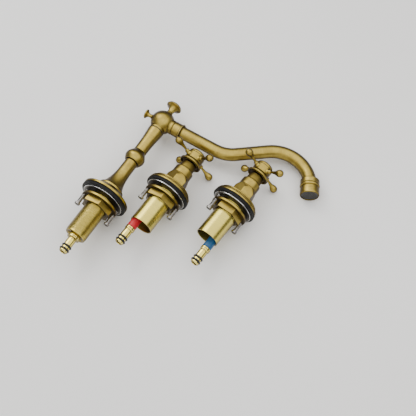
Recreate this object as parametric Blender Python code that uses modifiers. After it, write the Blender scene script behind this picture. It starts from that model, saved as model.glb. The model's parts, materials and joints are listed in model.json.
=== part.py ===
"""A three-hole basin mixer lying on a flat surface: a swivel spout unit, then the hot and cold valve units.

Each unit is modelled about its own +Z axis. Height 0 is the underside of its escutcheon, and the connectors
are below it. An empty for each unit then lays that axis down along world +Y. Sizes are in millimetres.
"""

import math

import bmesh
import bpy

mm = 0.001
seat = 0.3  # gap between two pieces that rest on each other
running = 0.3  # gap round a piece that turns or slides

# Where the units lie, measured from the middle of the kit's footprint.
kit_middle = (81.0, 42.7)
spout_flange_at = (-1.2, 1.5)
hot_flange_at = (51.7, 40.5)
cold_flange_at = (119.0, 62.3)
spout_pitch, hot_pitch, cold_pitch = -2.5, -1.0, 1.2  # degrees, positive lifts the top end
spout_yaw, hot_yaw, cold_yaw = -0.6, -3.9, -7.0  # degrees about the vertical
spout_dip = 3.26  # degrees the spout hangs below level, so its nozzle rests on the surface

# Mounting hardware. The same nut fits the spout's shank and the valves' sleeves.
shank_radius = 11.5
sleeve_radius = 12.5
gasket_thickness = 3.0
washer_thickness = 1.0
nut_drop = 9.0  # from the escutcheon's underside to the nut plate
nut_boss_flats = 2 * sleeve_radius + 5.0
nut_boss_length = 6.0
jack_radius = 2.0
jack_head_radius = 3.0
jack_head_height = 2.2
jack_circle = nut_boss_flats / 2 + jack_head_radius + 0.2
jack_grip = 13.0  # from the nut plate's top down to the screw's head
nut_plate_radius = jack_circle + 2.5
nut_plate_thickness = 2.5

# Quick-connect nipples.
nipple_bore = 2.75
nipple_radius = 4.5
nipple_collar_radius = nipple_radius + 0.75
nipple_collar_length = 3.7
nipple_tip_chamfer = 0.9
ring_radius = 0.95  # the O-ring's section
ring_groove_radius = nipple_radius - 1.2
ring_spots = (3.2, 7.2)  # from the nipple's tip

# Spout unit, from its connector up.
shank_length = 53.0
shank_step = 4.0
shank_step_radius = shank_radius - 2.0
shank_bore = shank_radius - 3.3
spout_socket_radius = 6.0
spout_nipple_reach = 74.0
spout_nipple_collar = spout_socket_radius + 0.8
stem_radius = 4.6
stem_bore = 3.2
flange_radius = 26.3
flange_rim = 2.2
flange_height = 9.5
flange_wall = 2.0
flare_radius = 12.6
shoulder_radius = flare_radius + 1.6
shoulder_height = 3.0
flange_top_radius = shoulder_radius + 1.0
shank_neck_radius = stem_radius + 4.0
shank_neck_top = flange_height + 5.0
waist_radius = 7.2
ring_low, ring_high = 50.5, 66.0
ring_bulge = 11.2
ring_foot = 1.6  # how much wider the barrel ring ends below than above
column_top = 98.3
column_top_radius = 8.9
bush_thickness = 0.8

# Ball and finials.
ball_radius = 13.2
ball_height = column_top + ball_radius + 1.0
ball_cavity_radius = ball_radius - 3.6
stem_top_below_ball = 5.6
side_bore = 5.1
finial_top = ball_radius + 15.3  # heights of the finials, the collar and the tube are from the ball's centre
finial_disc = 9.0
finial_neck = 3.4
finial_hole = 1.9
finial_hole_bottom = ball_radius - 6.7
rear_finial_end = ball_radius + 9.4
rear_finial_disc = 5.5
rear_finial_neck = 2.1
rear_finial_stud = 1.3
rear_finial_stud_depth = 4.8

# Spout tube and its ends.
tube_radius = 7.2
tube_end_radius = tube_radius + 0.5
tube_wall = 1.5
tube_start = ball_radius + 2.6
tube_reach = 67.0
low_bend_radius = 35.0
low_bend = 39.0
rise_length = 35.4
top_bend_radius = 38.0
top_bend = 104.0
collar_radius = tube_radius + seat + 0.6
collar_end = ball_radius + 12.8
collar_lip_radius = collar_radius + 0.9
spigot_length = 4.5
spigot_bore = 3.4
nozzle_mouth_gap = 0.9  # round the tube, which is still bending as it enters
tip_length = 12.8  # from the last bend to the nozzle's face
nozzle_radius = tube_end_radius + 3.05
nozzle_length = 19.5
nozzle_wall = 1.75
aerator_depth = 9.3
aerator_recess = 0.8
tube_stop = 12.0  # from the face to the end of the tube
aerator_hole_radius = 1.5
aerator_hole_circle = 5.0

# Valve units.
cartridge_radius = 7.2
chamber_radius = cartridge_radius + seat
body_neck_radius = chamber_radius + 1.5
rose_radius = 24.6
valve_gasket_radius = rose_radius + 0.4
valve_washer_radius = rose_radius - 2.1
rose_rim = 3.5
rose_step_radius = rose_radius - 2.6
rose_step = 6.0
rose_height = 9.0
rose_top_radius = sleeve_radius + 0.9
rose_wall = 2.0
sleeve_wall = 1.0
sleeve_length = 48.0
web_low, web_high = -17.0, -5.8  # the solid part of the valve body
valve_socket_depth = 5.0
body_shoulder = rose_height - 2.0
body_neck_top = rose_height + 7.5
bonnet_flats = 2 * body_neck_radius + 4.0
hex_height = 8.0
bell_radius = body_neck_radius + 1.6
neck_radius = cartridge_radius + 0.8
neck_top = 39.5
disc_thickness = 2.2
spindle_radius = 3.0
spindle_top = neck_top + 8.0
pipe_radius = 4.1
pipe_offset = sleeve_radius - sleeve_wall - pipe_radius - 1.0
port_radius = 1.9
port_offset = chamber_radius - port_radius - 1.3
marker_radius = pipe_radius + 0.9
marker_low, marker_high = -56.0, -40.0
valve_nipple_reach = 77.0

# Cross handles.
arm_plane = neck_top + 9.0
arm_reach = 27.5
arm_drop_radius = 4.0
arm_neck_radius = 1.3
hub_radius = 10.0
hub_top = neck_top + 13.0
skirt_radius = neck_radius + 4.5
cap_radius = hub_radius - 0.4
cap_height = 5.2
handle_screw_radius = 1.5
screw_recess_radius = 4.0

# Colour, roughness and metallic value of each finish.
finishes = {
    "antique_brass": ((0.30, 0.20, 0.09), 0.36, 1.0),
    "dark_brass": ((0.13, 0.09, 0.05), 0.42, 1.0),
    "pale_brass": ((0.62, 0.50, 0.28), 0.30, 1.0),
    "bright_brass": ((0.83, 0.60, 0.22), 0.24, 1.0),
    "steel": ((0.62, 0.61, 0.58), 0.28, 1.0),
    "rubber": ((0.020, 0.020, 0.021), 0.70, 0.0),
    "black_plastic": ((0.028, 0.028, 0.030), 0.45, 0.0),
    "red_plastic": ((0.55, 0.03, 0.03), 0.42, 0.0),
    "blue_plastic": ((0.03, 0.10, 0.50), 0.42, 0.0),
    "ceramic": ((0.85, 0.84, 0.80), 0.18, 0.0),
}


def clear_scene():
    for old in list(bpy.data.objects):
        bpy.data.objects.remove(old, do_unlink=True)


def new_collection(name):
    made = bpy.data.collections.new(name)
    bpy.context.scene.collection.children.link(made)
    return made


def painted(obj, finish):
    """Gives the piece its own Principled material."""
    colour, roughness, metallic = finishes[finish]
    made = bpy.data.materials.new(obj.name)
    made.use_nodes = True
    shader = made.node_tree.nodes["Principled BSDF"]
    shader.inputs["Base Color"].default_value = (*colour, 1.0)
    shader.inputs["Roughness"].default_value = roughness
    shader.inputs["Metallic"].default_value = metallic
    made.diffuse_color = (*colour, 1.0)
    obj.data.materials.append(made)


def placed(obj, parent, at=(0, 0, 0), turn=(0, 0, 0)):
    obj.parent = parent
    obj.location = [value * mm for value in at]
    obj.rotation_euler = [math.radians(value) for value in turn]
    return obj


def empty(name, parent=None, at=(0, 0, 0), turn=(0, 0, 0)):
    made = bpy.data.objects.new(name, None)
    made.empty_display_size = 10 * mm
    mixer.objects.link(made)
    return placed(made, parent, at, turn)


def kept(obj, finish):
    mixer.objects.link(obj)
    painted(obj, finish)
    return obj


def as_cutter(obj):
    cutters.objects.link(obj)
    obj.hide_render = True
    obj.display_type = "WIRE"
    return obj


def revolved(name, outline, steps):
    """A turned shape. The (radius, height) outline runs down the outside and then up the inside."""
    points = [(radius * mm, 0, height * mm) for radius, height in outline]
    edges = [(i, i + 1) for i in range(len(points) - 1)]
    if outline[0][0] > 0 or outline[-1][0] > 0:
        edges.append((len(points) - 1, 0))
    mesh = bpy.data.meshes.new(name)
    mesh.from_pydata(points, edges, [])
    obj = bpy.data.objects.new(name, mesh)
    screw = obj.modifiers.new("Turn", "SCREW")
    screw.steps = screw.render_steps = steps
    screw.use_merge_vertices = True
    screw.merge_threshold = 1e-6
    return obj


def turned(name, outline, finish, parent, at=(0, 0, 0), turn=(0, 0, 0), steps=18):
    return placed(kept(revolved(name, outline, steps), finish), parent, at, turn)


def rod(name, radius, low, high, sides=16):
    """A straight cylinder or prism along Z, its corners at the given radius."""
    mesh = bpy.data.meshes.new(name)
    shape = bmesh.new()
    size = {"radius1": radius * mm, "radius2": radius * mm, "depth": (high - low) * mm}
    bmesh.ops.create_cone(shape, cap_ends=True, segments=sides, **size)
    bmesh.ops.translate(shape, verts=shape.verts, vec=(0, 0, (high + low) / 2 * mm))
    shape.to_mesh(mesh)
    shape.free()
    return bpy.data.objects.new(name, mesh)


def boolean(obj, other, operation):
    step = obj.modifiers.new(other.name, "BOOLEAN")
    step.operation = operation
    step.solver = "EXACT"
    step.object = other


def drill(obj, parent, radius, low, high, at=(0, 0, 0), turn=(0, 0, 0), sides=16):
    cutter = as_cutter(rod(obj.name + "_drill", radius, low, high, sides))
    placed(cutter, parent, at, turn)
    boolean(obj, cutter, "DIFFERENCE")


def arc(middle, radius, start, end, count):
    """Points on an arc in the outline's plane, at angles in degrees up from the radius axis."""
    angles = [math.radians(start + (end - start) * i / (count - 1)) for i in range(count)]
    return [(middle[0] + radius * math.cos(a), middle[1] + radius * math.sin(a)) for a in angles]


def annulus(outer, inner, low, high):
    return [(outer, high), (outer, low), (inner, low), (inner, high)]


def o_ring_outline(height):
    middle = (ring_groove_radius + seat + ring_radius, height)
    return arc(middle, ring_radius, 90, -210, 6)


def nipple_outline(head_radius, head_top, collar_radius, collar_top, reach):
    """A hollow connector: its head in the socket above, then a collar, the sealing grooves and the tip."""
    groove_half = ring_radius + seat - 0.05
    outline = [
        (head_radius, head_top),
        (head_radius, collar_top),
        (collar_radius, collar_top),
        (collar_radius, collar_top - nipple_collar_length),
        (nipple_radius, collar_top - nipple_collar_length),
    ]
    for spot in reversed(ring_spots):
        height = spot - reach
        outline += [
            (nipple_radius, height + groove_half),
            (ring_groove_radius, height + groove_half),
            (ring_groove_radius, height - groove_half),
            (nipple_radius, height - groove_half),
        ]
    outline += [
        (nipple_radius, nipple_tip_chamfer - reach),
        (nipple_radius - nipple_tip_chamfer, -reach),
        (nipple_bore, -reach),
        (nipple_bore, head_top),
    ]
    return outline


def seal_rings(prefix, reach, parent, at=(0, 0, 0)):
    for number, spot in enumerate(ring_spots, 1):
        outline = o_ring_outline(spot - reach)
        turned(f"{prefix}_nipple_seal_{number}", outline, "rubber", parent, at, steps=12)


def mounting_hardware(prefix, parent, pipe_outer, gasket_radius, washer_radius, jack_angle):
    """The gasket, washer, nut and jack screws that clamp a unit to its deck."""
    inner = pipe_outer + running
    gasket_low = -seat - gasket_thickness
    washer_high = gasket_low - seat
    washer_low = washer_high - washer_thickness
    gasket = annulus(gasket_radius, inner, gasket_low, -seat)
    washer = annulus(washer_radius, inner, washer_low, washer_high)
    turned(f"{prefix}_gasket", gasket, "rubber", parent, steps=24)
    turned(f"{prefix}_washer", washer, "steel", parent, steps=24)

    slide = empty(f"{prefix}_nut_axis", parent, at=(0, 0, -nut_drop), turn=(0, 0, jack_angle))
    plate = annulus(nut_plate_radius, inner, -nut_plate_thickness, 0)
    nut = turned(f"{prefix}_mounting_nut", plate, "antique_brass", slide, steps=20)
    corner = nut_boss_flats / 2 / math.cos(math.pi / 6)
    boss_low = -nut_plate_thickness - nut_boss_length
    boss = rod(f"{prefix}_nut_boss", corner, boss_low, -nut_plate_thickness / 2, 6)
    placed(as_cutter(boss), slide)
    boolean(nut, boss, "UNION")
    drill(nut, slide, inner, boss_low - 1, 1, sides=32)

    jack_top = nut_drop + washer_low - seat
    head_top = -jack_grip
    outline = [
        (0, jack_top),
        (jack_radius - 0.4, jack_top),
        (jack_radius, jack_top - 0.4),
        (jack_radius, head_top),
        (jack_head_radius, head_top),
        (jack_head_radius, head_top - jack_head_height * 0.6),
        (jack_head_radius * 0.7, head_top - jack_head_height),
        (0, head_top - jack_head_height),
    ]
    for number, side in enumerate((-1, 1), 1):
        at = (side * jack_circle, 0, 0)
        drill(nut, slide, jack_radius + running, -nut_plate_thickness - 1, 1, at, sides=12)
        turned(f"{prefix}_jack_screw_{number}", outline, "steel", slide, at, steps=10)


def spout_base(unit):
    neck_hole = shank_neck_radius + seat
    flow = stem_radius + seat
    slope = flange_radius - flange_top_radius
    turned(
        "spout_shank",
        [
            (shank_neck_radius, shank_neck_top),
            (shank_neck_radius, flange_height - 1.5),
            (shank_radius, flange_height - 1.5),
            (shank_radius, shank_step - shank_length),
            (shank_step_radius, shank_step - shank_length),
            (shank_step_radius, -shank_length),
            (spout_socket_radius, -shank_length),
            (spout_socket_radius, 11 - shank_length),
            (shank_bore, 13 - shank_length),
            (shank_bore, 1.0),
            (flow, 4.0),
            (flow, shank_neck_top),
        ],
        "antique_brass",
        unit,
        steps=20,
    )
    turned(
        "spout_escutcheon",
        [
            (flange_top_radius, flange_height),
            (flange_top_radius + slope * 0.14, flange_height - 1.7),
            (flange_radius - slope * 0.54, flange_rim + 2.9),
            (flange_radius - slope * 0.13, flange_rim + 0.9),
            (flange_radius, flange_rim),
            (flange_radius, 0),
            (flange_radius - 2.4, 0),
            (flange_radius - 2.4, flange_rim - 0.9),
            (flange_top_radius + 0.6, flange_height - flange_wall - 2.2),
            (shank_radius + seat, flange_height - flange_wall - 2.0),
            (shank_radius + seat, flange_height),
        ],
        "antique_brass",
        unit,
        steps=24,
    )
    base = flange_height + seat
    shoulder_top = base + shoulder_height
    flare_steps = 7
    flare = []
    for i in range(flare_steps + 1):
        share = i / flare_steps
        height = ring_low - seat - (ring_low - seat - shoulder_top) * share
        flare.append((waist_radius + (flare_radius - waist_radius) * share**4, height))
    turned(
        "spout_column_lower",
        flare
        + [
            (shoulder_radius, shoulder_top - 0.8),
            (shoulder_radius, base),
            (neck_hole, base),
            (neck_hole, shank_neck_top + seat),
            (flow, shank_neck_top + seat),
            (flow, ring_low - seat),
        ],
        "antique_brass",
        unit,
    )
    middle = (ring_low + ring_high) / 2
    half = (ring_high - ring_low) / 2 - seat
    bulge = []
    for i in range(9):
        share = i / 8
        end_radius = waist_radius + ring_foot * share
        radius = end_radius + (ring_bulge - end_radius) * math.sin(math.pi * share**1.3)
        bulge.append((radius, middle + half * (1 - 2 * share)))
    hole = [(flow, middle - half), (flow, middle + half)]
    turned("spout_column_ring", bulge + hole, "antique_brass", unit)
    upper_length = column_top - ring_high
    widening = column_top_radius - waist_radius
    turned(
        "spout_column_upper",
        [
            (column_top_radius, column_top),
            (column_top_radius, column_top - 1.5),
            (waist_radius + widening * 0.55, column_top - upper_length * 0.25),
            (waist_radius + widening * 0.15, column_top - upper_length * 0.55),
            (waist_radius, ring_high),
            (flow, ring_high),
            (flow, column_top),
        ],
        "antique_brass",
        unit,
    )
    bush_low = column_top + seat
    turned(
        "spout_swivel_bush",
        annulus(column_top_radius - 0.5, flow, bush_low, bush_low + bush_thickness),
        "black_plastic",
        unit,
    )
    stem = annulus(stem_radius, stem_bore, shank_neck_top - 2, ball_height - stem_top_below_ball)
    turned("spout_swivel_stem", stem, "bright_brass", unit, steps=16)
    turned(
        "spout_nipple",
        nipple_outline(
            spout_socket_radius - seat,
            10 - shank_length,
            spout_nipple_collar,
            -shank_length - seat,
            spout_nipple_reach,
        ),
        "bright_brass",
        unit,
        steps=14,
    )
    seal_rings("spout", spout_nipple_reach, unit)
    mounting_hardware("spout", unit, shank_radius, flange_radius, flange_radius - 3.3, jack_angle=20)


def spout_route():
    """Centreline of the spout, as (outward, up) from the ball's centre, and the direction at its end."""
    heading, outward, up = 0.0, tube_start, 0.0
    route = [(outward, up)]
    for length, bend, radius, count in (
        (tube_reach - tube_start, 0.0, 0.0, 1),
        (0.0, low_bend, low_bend_radius, 5),
        (rise_length, 0.0, 0.0, 1),
        (0.0, -top_bend, top_bend_radius, 12),
        (tip_length - tube_stop, 0.0, 0.0, 1),
    ):
        step = math.radians(bend) / count
        chord = length if bend == 0 else 2 * radius * math.sin(abs(step) / 2)
        for _ in range(count):
            heading += step / 2
            outward += chord * math.cos(heading)
            up += chord * math.sin(heading)
            heading += step / 2
            route.append((outward, up))
    return route, heading


def spout_tube(swivel, route):
    curve = bpy.data.curves.new("spout_tube", "CURVE")
    curve.dimensions = "3D"
    curve.bevel_depth = tube_radius * mm
    curve.bevel_resolution = 2
    line = curve.splines.new("POLY")
    line.points.add(len(route) - 1)
    for number, (outward, up) in enumerate(route):
        line.points[number].co = (outward * mm, 0, up * mm, 1)
        share = number / (len(route) - 1)
        line.points[number].radius = 1 + (tube_end_radius / tube_radius - 1) * share
    tube = placed(kept(bpy.data.objects.new("spout_tube", curve), "antique_brass"), swivel)
    wall = tube.modifiers.new("Wall", "SOLIDIFY")
    wall.thickness = tube_wall * mm
    wall.offset = -1


def spout_head(unit):
    """Everything that turns about the column's axis."""
    swivel = empty("spout_swivel_axis", unit, at=(0, 0, ball_height), turn=(0, 0, spout_dip))
    neck_low = column_top + bush_thickness + 2 * seat - ball_height
    neck_angle = -math.degrees(math.acos(column_top_radius / ball_radius))
    top_angle = math.degrees(math.acos(finial_hole / ball_radius))
    bore = stem_radius + running
    ball = turned(
        "spout_ball",
        [(0, finial_hole_bottom), (finial_hole, finial_hole_bottom)]
        + arc((0, 0), ball_radius, top_angle, neck_angle, 11)
        + [(column_top_radius, neck_low), (bore, neck_low), (bore, neck_low + 4.6)]
        + arc((0, 0), ball_cavity_radius, -55, 30, 4)
        + [(0, ball_cavity_radius / 2)],
        "antique_brass",
        swivel,
        steps=18,
    )
    outward = (0, 90, 0)
    drill(ball, swivel, side_bore, 0, ball_radius + 2, turn=outward)
    stud_hole = rear_finial_stud + seat
    drill(ball, swivel, stud_hole, -ball_radius - 2, -ball_cavity_radius + 1, turn=outward, sides=12)

    foot = ball_radius + seat
    turned(
        "spout_top_finial",
        arc((0, finial_top - 12.0), 12.0, 90, 47, 5)
        + [
            (finial_disc, finial_top - 3.9),
            (finial_disc, finial_top - 4.9),
            (finial_disc - 1.2, finial_top - 5.8),
            (finial_disc * 0.56, finial_top - 8.0),
            (finial_neck + 0.4, finial_top - 10.5),
            (finial_neck, finial_top - 13.4),
            (finial_neck + 0.5, foot),
            (finial_hole - seat, foot),
            (finial_hole - seat, finial_hole_bottom + 0.5),
            (0, finial_hole_bottom + 0.5),
        ],
        "antique_brass",
        swivel,
        steps=16,
    )
    turned(
        "spout_rear_finial",
        [
            (0, rear_finial_end),
            (rear_finial_disc * 0.6, rear_finial_end - 0.4),
            (rear_finial_disc, rear_finial_end - 1.4),
            (rear_finial_disc, rear_finial_end - 2.1),
            (rear_finial_disc * 0.6, rear_finial_end - 3.6),
            (rear_finial_neck, rear_finial_end - 6.2),
            (rear_finial_neck + 0.5, foot),
            (rear_finial_stud, foot),
            (rear_finial_stud, foot - rear_finial_stud_depth),
            (0, foot - rear_finial_stud_depth),
        ],
        "antique_brass",
        swivel,
        turn=(0, -90, 0),
        steps=12,
    )
    cup = ball_radius + seat
    spigot = side_bore - seat
    outer_angle = math.degrees(math.acos(collar_radius / cup))
    inner_angle = math.degrees(math.acos(spigot / cup))
    socket = tube_radius + seat
    turned(
        "spout_collar",
        [
            (collar_lip_radius, collar_end),
            (collar_lip_radius, collar_end - 1.5),
            (collar_radius, collar_end - 2.1),
            (collar_radius, cup + 0.9),
            (collar_radius - 0.5, cup + 0.5),
            (collar_radius - 0.5, cup - 0.2),
            (collar_radius, cup - 0.6),
        ]
        + arc((0, 0), cup, outer_angle, inner_angle, 4)
        + [
            (spigot, cup - spigot_length),
            (spigot_bore, cup - spigot_length),
            (spigot_bore, tube_start - seat),
            (socket, tube_start - seat),
            (socket, collar_end - 1.2),
            (collar_lip_radius - 0.7, collar_end),
        ],
        "antique_brass",
        swivel,
        turn=outward,
    )
    route, heading = spout_route()
    spout_tube(swivel, route)
    spout_outlet(swivel, route[-1], heading)


def spout_outlet(swivel, tube_end, heading):
    """The nozzle and its aerator, about the spout's outlet axis with height 0 at the face."""
    outward, up = tube_end
    face = (outward + tube_stop * math.cos(heading), 0, up + tube_stop * math.sin(heading))
    outlet = empty("spout_outlet_axis", swivel, at=face, turn=(0, 270 - math.degrees(heading), 0))
    bore = tube_end_radius + nozzle_mouth_gap
    turned(
        "spout_nozzle",
        [
            (nozzle_radius - 0.7, nozzle_length),
            (nozzle_radius, nozzle_length - 0.7),
            (nozzle_radius, nozzle_length - 3.4),
            (nozzle_radius - 1.0, nozzle_length - 4.0),
            (nozzle_radius - 1.0, nozzle_length - 5.0),
            (nozzle_radius - 0.3, nozzle_length - 5.8),
            (nozzle_radius - 0.3, 5.6),
            (nozzle_radius - 1.0, 5.0),
            (nozzle_radius - 1.0, 4.2),
            (nozzle_radius, 3.6),
            (nozzle_radius, 0.6),
            (nozzle_radius - 0.6, 0),
            (nozzle_radius - nozzle_wall, 0),
            (nozzle_radius - nozzle_wall, aerator_depth),
            (tube_end_radius - 0.7, aerator_depth),
            (tube_end_radius - 0.7, tube_stop - seat),
            (bore, tube_stop - seat),
            (bore, nozzle_length),
        ],
        "antique_brass",
        outlet,
        steps=18,
    )
    aerator_radius = nozzle_radius - nozzle_wall - seat
    aerator = rod("spout_aerator", aerator_radius, aerator_recess, aerator_depth - seat, 24)
    placed(kept(aerator, "black_plastic"), outlet)
    drill(aerator, outlet, aerator_hole_radius, 0, aerator_depth, sides=8)
    for number in range(6):
        angle = math.radians(60 * number)
        across, along = math.cos(angle), math.sin(angle)
        at = (aerator_hole_circle * across, aerator_hole_circle * along, 0)
        drill(aerator, outlet, aerator_hole_radius, 0, aerator_depth, at, sides=8)


def valve_body(prefix, unit, pipe_angle):
    """The body with its open sleeve, and the pipe, marker and connector that come out of it off centre."""
    body = turned(
        f"{prefix}_body",
        [
            (0, web_high),
            (chamber_radius, web_high),
            (chamber_radius, body_neck_top),
            (body_neck_radius, body_neck_top),
            (body_neck_radius, body_shoulder),
            (sleeve_radius, body_shoulder),
            (sleeve_radius, -sleeve_length),
            (sleeve_radius - sleeve_wall, -sleeve_length),
            (sleeve_radius - sleeve_wall, web_low),
            (0, web_low),
        ],
        "pale_brass",
        unit,
        steps=20,
    )
    pipe = empty(f"{prefix}_pipe_axis", unit, turn=(0, 0, pipe_angle))
    pipe_at = (pipe_offset, 0, 0)
    socket_top = web_low + valve_socket_depth
    drill(body, pipe, pipe_radius + seat, web_low - 1, socket_top, pipe_at)
    drill(body, pipe, port_radius, socket_top - 1, web_high + 1, (port_offset, 0, 0), sides=12)
    drill(body, pipe, port_radius, web_low - 1, web_high + 1, (-port_offset, 0, 0), sides=12)
    turned(
        f"{prefix}_nipple",
        nipple_outline(
            pipe_radius,
            socket_top - seat,
            nipple_collar_radius,
            marker_low - seat,
            valve_nipple_reach,
        ),
        "bright_brass",
        pipe,
        pipe_at,
        steps=14,
    )
    colour = {"hot": "red_plastic", "cold": "blue_plastic"}[prefix]
    sleeve = annulus(marker_radius, pipe_radius + seat, marker_low, marker_high)
    turned(f"{prefix}_marker", sleeve, colour, pipe, pipe_at, steps=14)
    seal_rings(prefix, valve_nipple_reach, pipe, pipe_at)
    return pipe


def valve_trim(prefix, unit):
    """The escutcheon and the six-sided bonnet that stand on the deck."""
    turned(
        f"{prefix}_escutcheon",
        [
            (rose_top_radius, rose_height),
            (rose_step_radius - 2.0, rose_step + 0.6),
            (rose_step_radius, rose_step),
            (rose_step_radius, rose_rim + 0.3),
            (rose_radius - 0.5, rose_rim + 0.3),
            (rose_radius, rose_rim - 0.2),
            (rose_radius, 0),
            (rose_radius - 2.4, 0),
            (rose_radius - 2.4, rose_rim - rose_wall),
            (rose_step_radius - 2.2, rose_step - rose_wall),
            (sleeve_radius + 2.6, rose_height - rose_wall - 0.8),
            (sleeve_radius + seat, rose_height - rose_wall - 0.8),
            (sleeve_radius + seat, body_shoulder + seat),
            (body_neck_radius + seat, body_shoulder + seat),
            (body_neck_radius + seat, rose_height),
        ],
        "antique_brass",
        unit,
        steps=24,
    )
    base = rose_height + seat
    corner = bonnet_flats / 2 / math.cos(math.pi / 6)
    bell_low = base + hex_height + 4.0
    bonnet = turned(
        f"{prefix}_bonnet",
        [
            (neck_radius - 0.8, neck_top),
            (neck_radius, neck_top - 0.8),
            (neck_radius + 0.3, neck_top - 4.5),
            (neck_radius + 0.2, neck_top - 8.0),
            (bell_radius - 0.9, neck_top - 8.7),
            (bell_radius - 0.1, neck_top - 9.8),
            (bell_radius, bell_low + 0.6),
            (bell_radius + 0.5, bell_low - 0.6),
            (corner - 0.6, base + hex_height + 1.2),
            (corner, base + hex_height - 1.0),
            (corner, base + 0.7),
            (corner - 0.7, base),
            (body_neck_radius + seat, base),
            (body_neck_radius + seat, body_neck_top + seat),
            (cartridge_radius - 2.0 + seat, body_neck_top + seat),
            (cartridge_radius - 2.0 + seat, neck_top),
        ],
        "antique_brass",
        unit,
        steps=24,
    )
    prism = placed(as_cutter(rod(f"{prefix}_hex", corner, base - 1, neck_top + 1, 6)), unit)
    boolean(bonnet, prism, "INTERSECT")


def valve_cartridge(prefix, unit, pipe):
    """The fixed half of the quarter-turn cartridge: its housing and the lower ceramic disc."""
    low = web_high + seat
    chamber = cartridge_radius - 0.6
    foot_top = low + 2 * (disc_thickness + seat) + disc_thickness
    turned(
        f"{prefix}_cartridge",
        [
            (cartridge_radius - 2.0, neck_top - 8.5),
            (cartridge_radius - 2.0, body_neck_top - 0.7),
            (cartridge_radius, body_neck_top - 0.7),
            (cartridge_radius, low),
            (chamber, low),
            (chamber, foot_top + seat),
            (spindle_radius + running, foot_top + seat),
            (spindle_radius + running, neck_top - 8.5),
        ],
        "pale_brass",
        unit,
    )
    fixed = rod(f"{prefix}_fixed_disc", chamber - seat, low, low + disc_thickness, 24)
    placed(kept(fixed, "ceramic"), unit)
    for side in (-1, 1):
        at = (side * port_offset, 0, 0)
        drill(fixed, pipe, port_radius - 0.3, low - 1, low + disc_thickness + 1, at, sides=12)
    return low + disc_thickness + seat


def valve_handle(prefix, unit, rest_angle, disc_low):
    """Everything that turns together: the cross, its cap and screw, the spindle and the upper disc."""
    axis = empty(f"{prefix}_handle_axis", unit, turn=(0, 0, rest_angle))
    foot_radius = cartridge_radius - 0.6 - 2 * seat
    moving = rod(f"{prefix}_moving_disc", foot_radius, disc_low, disc_low + disc_thickness, 24)
    placed(kept(moving, "ceramic"), axis)
    channel_reach = foot_radius - 0.6
    channel_depth = disc_thickness * 0.7
    channel = as_cutter(rod(f"{prefix}_channel", channel_depth, -channel_reach, channel_reach, 4))
    placed(channel, axis, at=(0, 0, disc_low), turn=(0, 90, 0))
    boolean(moving, channel, "DIFFERENCE")

    foot_low = disc_low + disc_thickness + seat
    screw_hole = handle_screw_radius + seat
    turned(
        f"{prefix}_spindle",
        [
            (0, spindle_top - 8),
            (screw_hole, spindle_top - 8),
            (screw_hole, spindle_top),
            (spindle_radius, spindle_top),
            (spindle_radius, foot_low + disc_thickness),
            (foot_radius, foot_low + disc_thickness),
            (foot_radius, foot_low),
            (0, foot_low),
        ],
        "bright_brass",
        axis,
        steps=16,
    )
    skirt_low = neck_top + 2 * seat
    screw_seat = spindle_top + 2.0
    handle = turned(
        f"{prefix}_handle",
        [
            (hub_radius - 0.5, hub_top),
            (hub_radius, hub_top - 0.5),
            (hub_radius, hub_top - 8.2),
            (hub_radius + 0.6, hub_top - 9.4),
            (skirt_radius - 0.8, hub_top - 10.3),
            (skirt_radius, skirt_low + 1.8),
            (skirt_radius, skirt_low + 0.5),
            (skirt_radius - 0.5, skirt_low),
            (spindle_radius + seat, skirt_low),
            (spindle_radius + seat, spindle_top + seat),
            (screw_hole, spindle_top + seat),
            (screw_hole, screw_seat),
            (screw_recess_radius, screw_seat),
            (screw_recess_radius, hub_top),
        ],
        "antique_brass",
        axis,
    )
    arm = [
        (0, arm_reach + arm_drop_radius),
        (arm_drop_radius * 0.45, arm_reach + arm_drop_radius * 0.9),
        (arm_drop_radius * 0.85, arm_reach + arm_drop_radius * 0.5),
        (arm_drop_radius, arm_reach),
        (arm_drop_radius * 0.88, arm_reach - 2.4),
        (arm_drop_radius * 0.6, arm_reach - 5.2),
        (arm_neck_radius + 0.2, arm_reach - 9.0),
        (arm_neck_radius, arm_reach - 13.0),
        (arm_neck_radius + 0.3, hub_radius + 3.0),
        (arm_neck_radius + 1.5, hub_radius),
        (arm_neck_radius + 1.5, hub_radius - 2.0),
        (0, hub_radius - 2.0),
    ]
    for number in range(4):
        spoke = as_cutter(revolved(f"{prefix}_arm_{number + 1}", arm, 8))
        placed(spoke, axis, at=(0, 0, arm_plane), turn=(90, 0, 45 + 90 * number))
        boolean(handle, spoke, "UNION")
    turned(
        f"{prefix}_handle_screw",
        [
            (0, hub_top - 0.8),
            (screw_recess_radius - 0.6, hub_top - 0.8),
            (screw_recess_radius - 0.6, screw_seat + seat),
            (handle_screw_radius, screw_seat + seat),
            (handle_screw_radius, spindle_top - 7),
            (0, spindle_top - 7),
        ],
        "steel",
        axis,
        steps=12,
    )
    cap_low = hub_top + seat
    turned(
        f"{prefix}_handle_cap",
        [
            (0, cap_low + cap_height),
            (cap_radius * 0.32, cap_low + cap_height * 0.95),
            (cap_radius * 0.62, cap_low + cap_height * 0.78),
            (cap_radius * 0.86, cap_low + cap_height * 0.46),
            (cap_radius, cap_low + cap_height * 0.12),
            (cap_radius, cap_low),
            (0, cap_low),
        ],
        "antique_brass",
        axis,
        steps=20,
    )


def valve(prefix, unit, jack_angle, pipe_angle, rest_angle):
    pipe = valve_body(prefix, unit, pipe_angle)
    valve_trim(prefix, unit)
    disc_low = valve_cartridge(prefix, unit, pipe)
    valve_handle(prefix, unit, rest_angle, disc_low)
    disc_sizes = (valve_gasket_radius, valve_washer_radius)
    mounting_hardware(prefix, unit, sleeve_radius, *disc_sizes, jack_angle)


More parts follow.
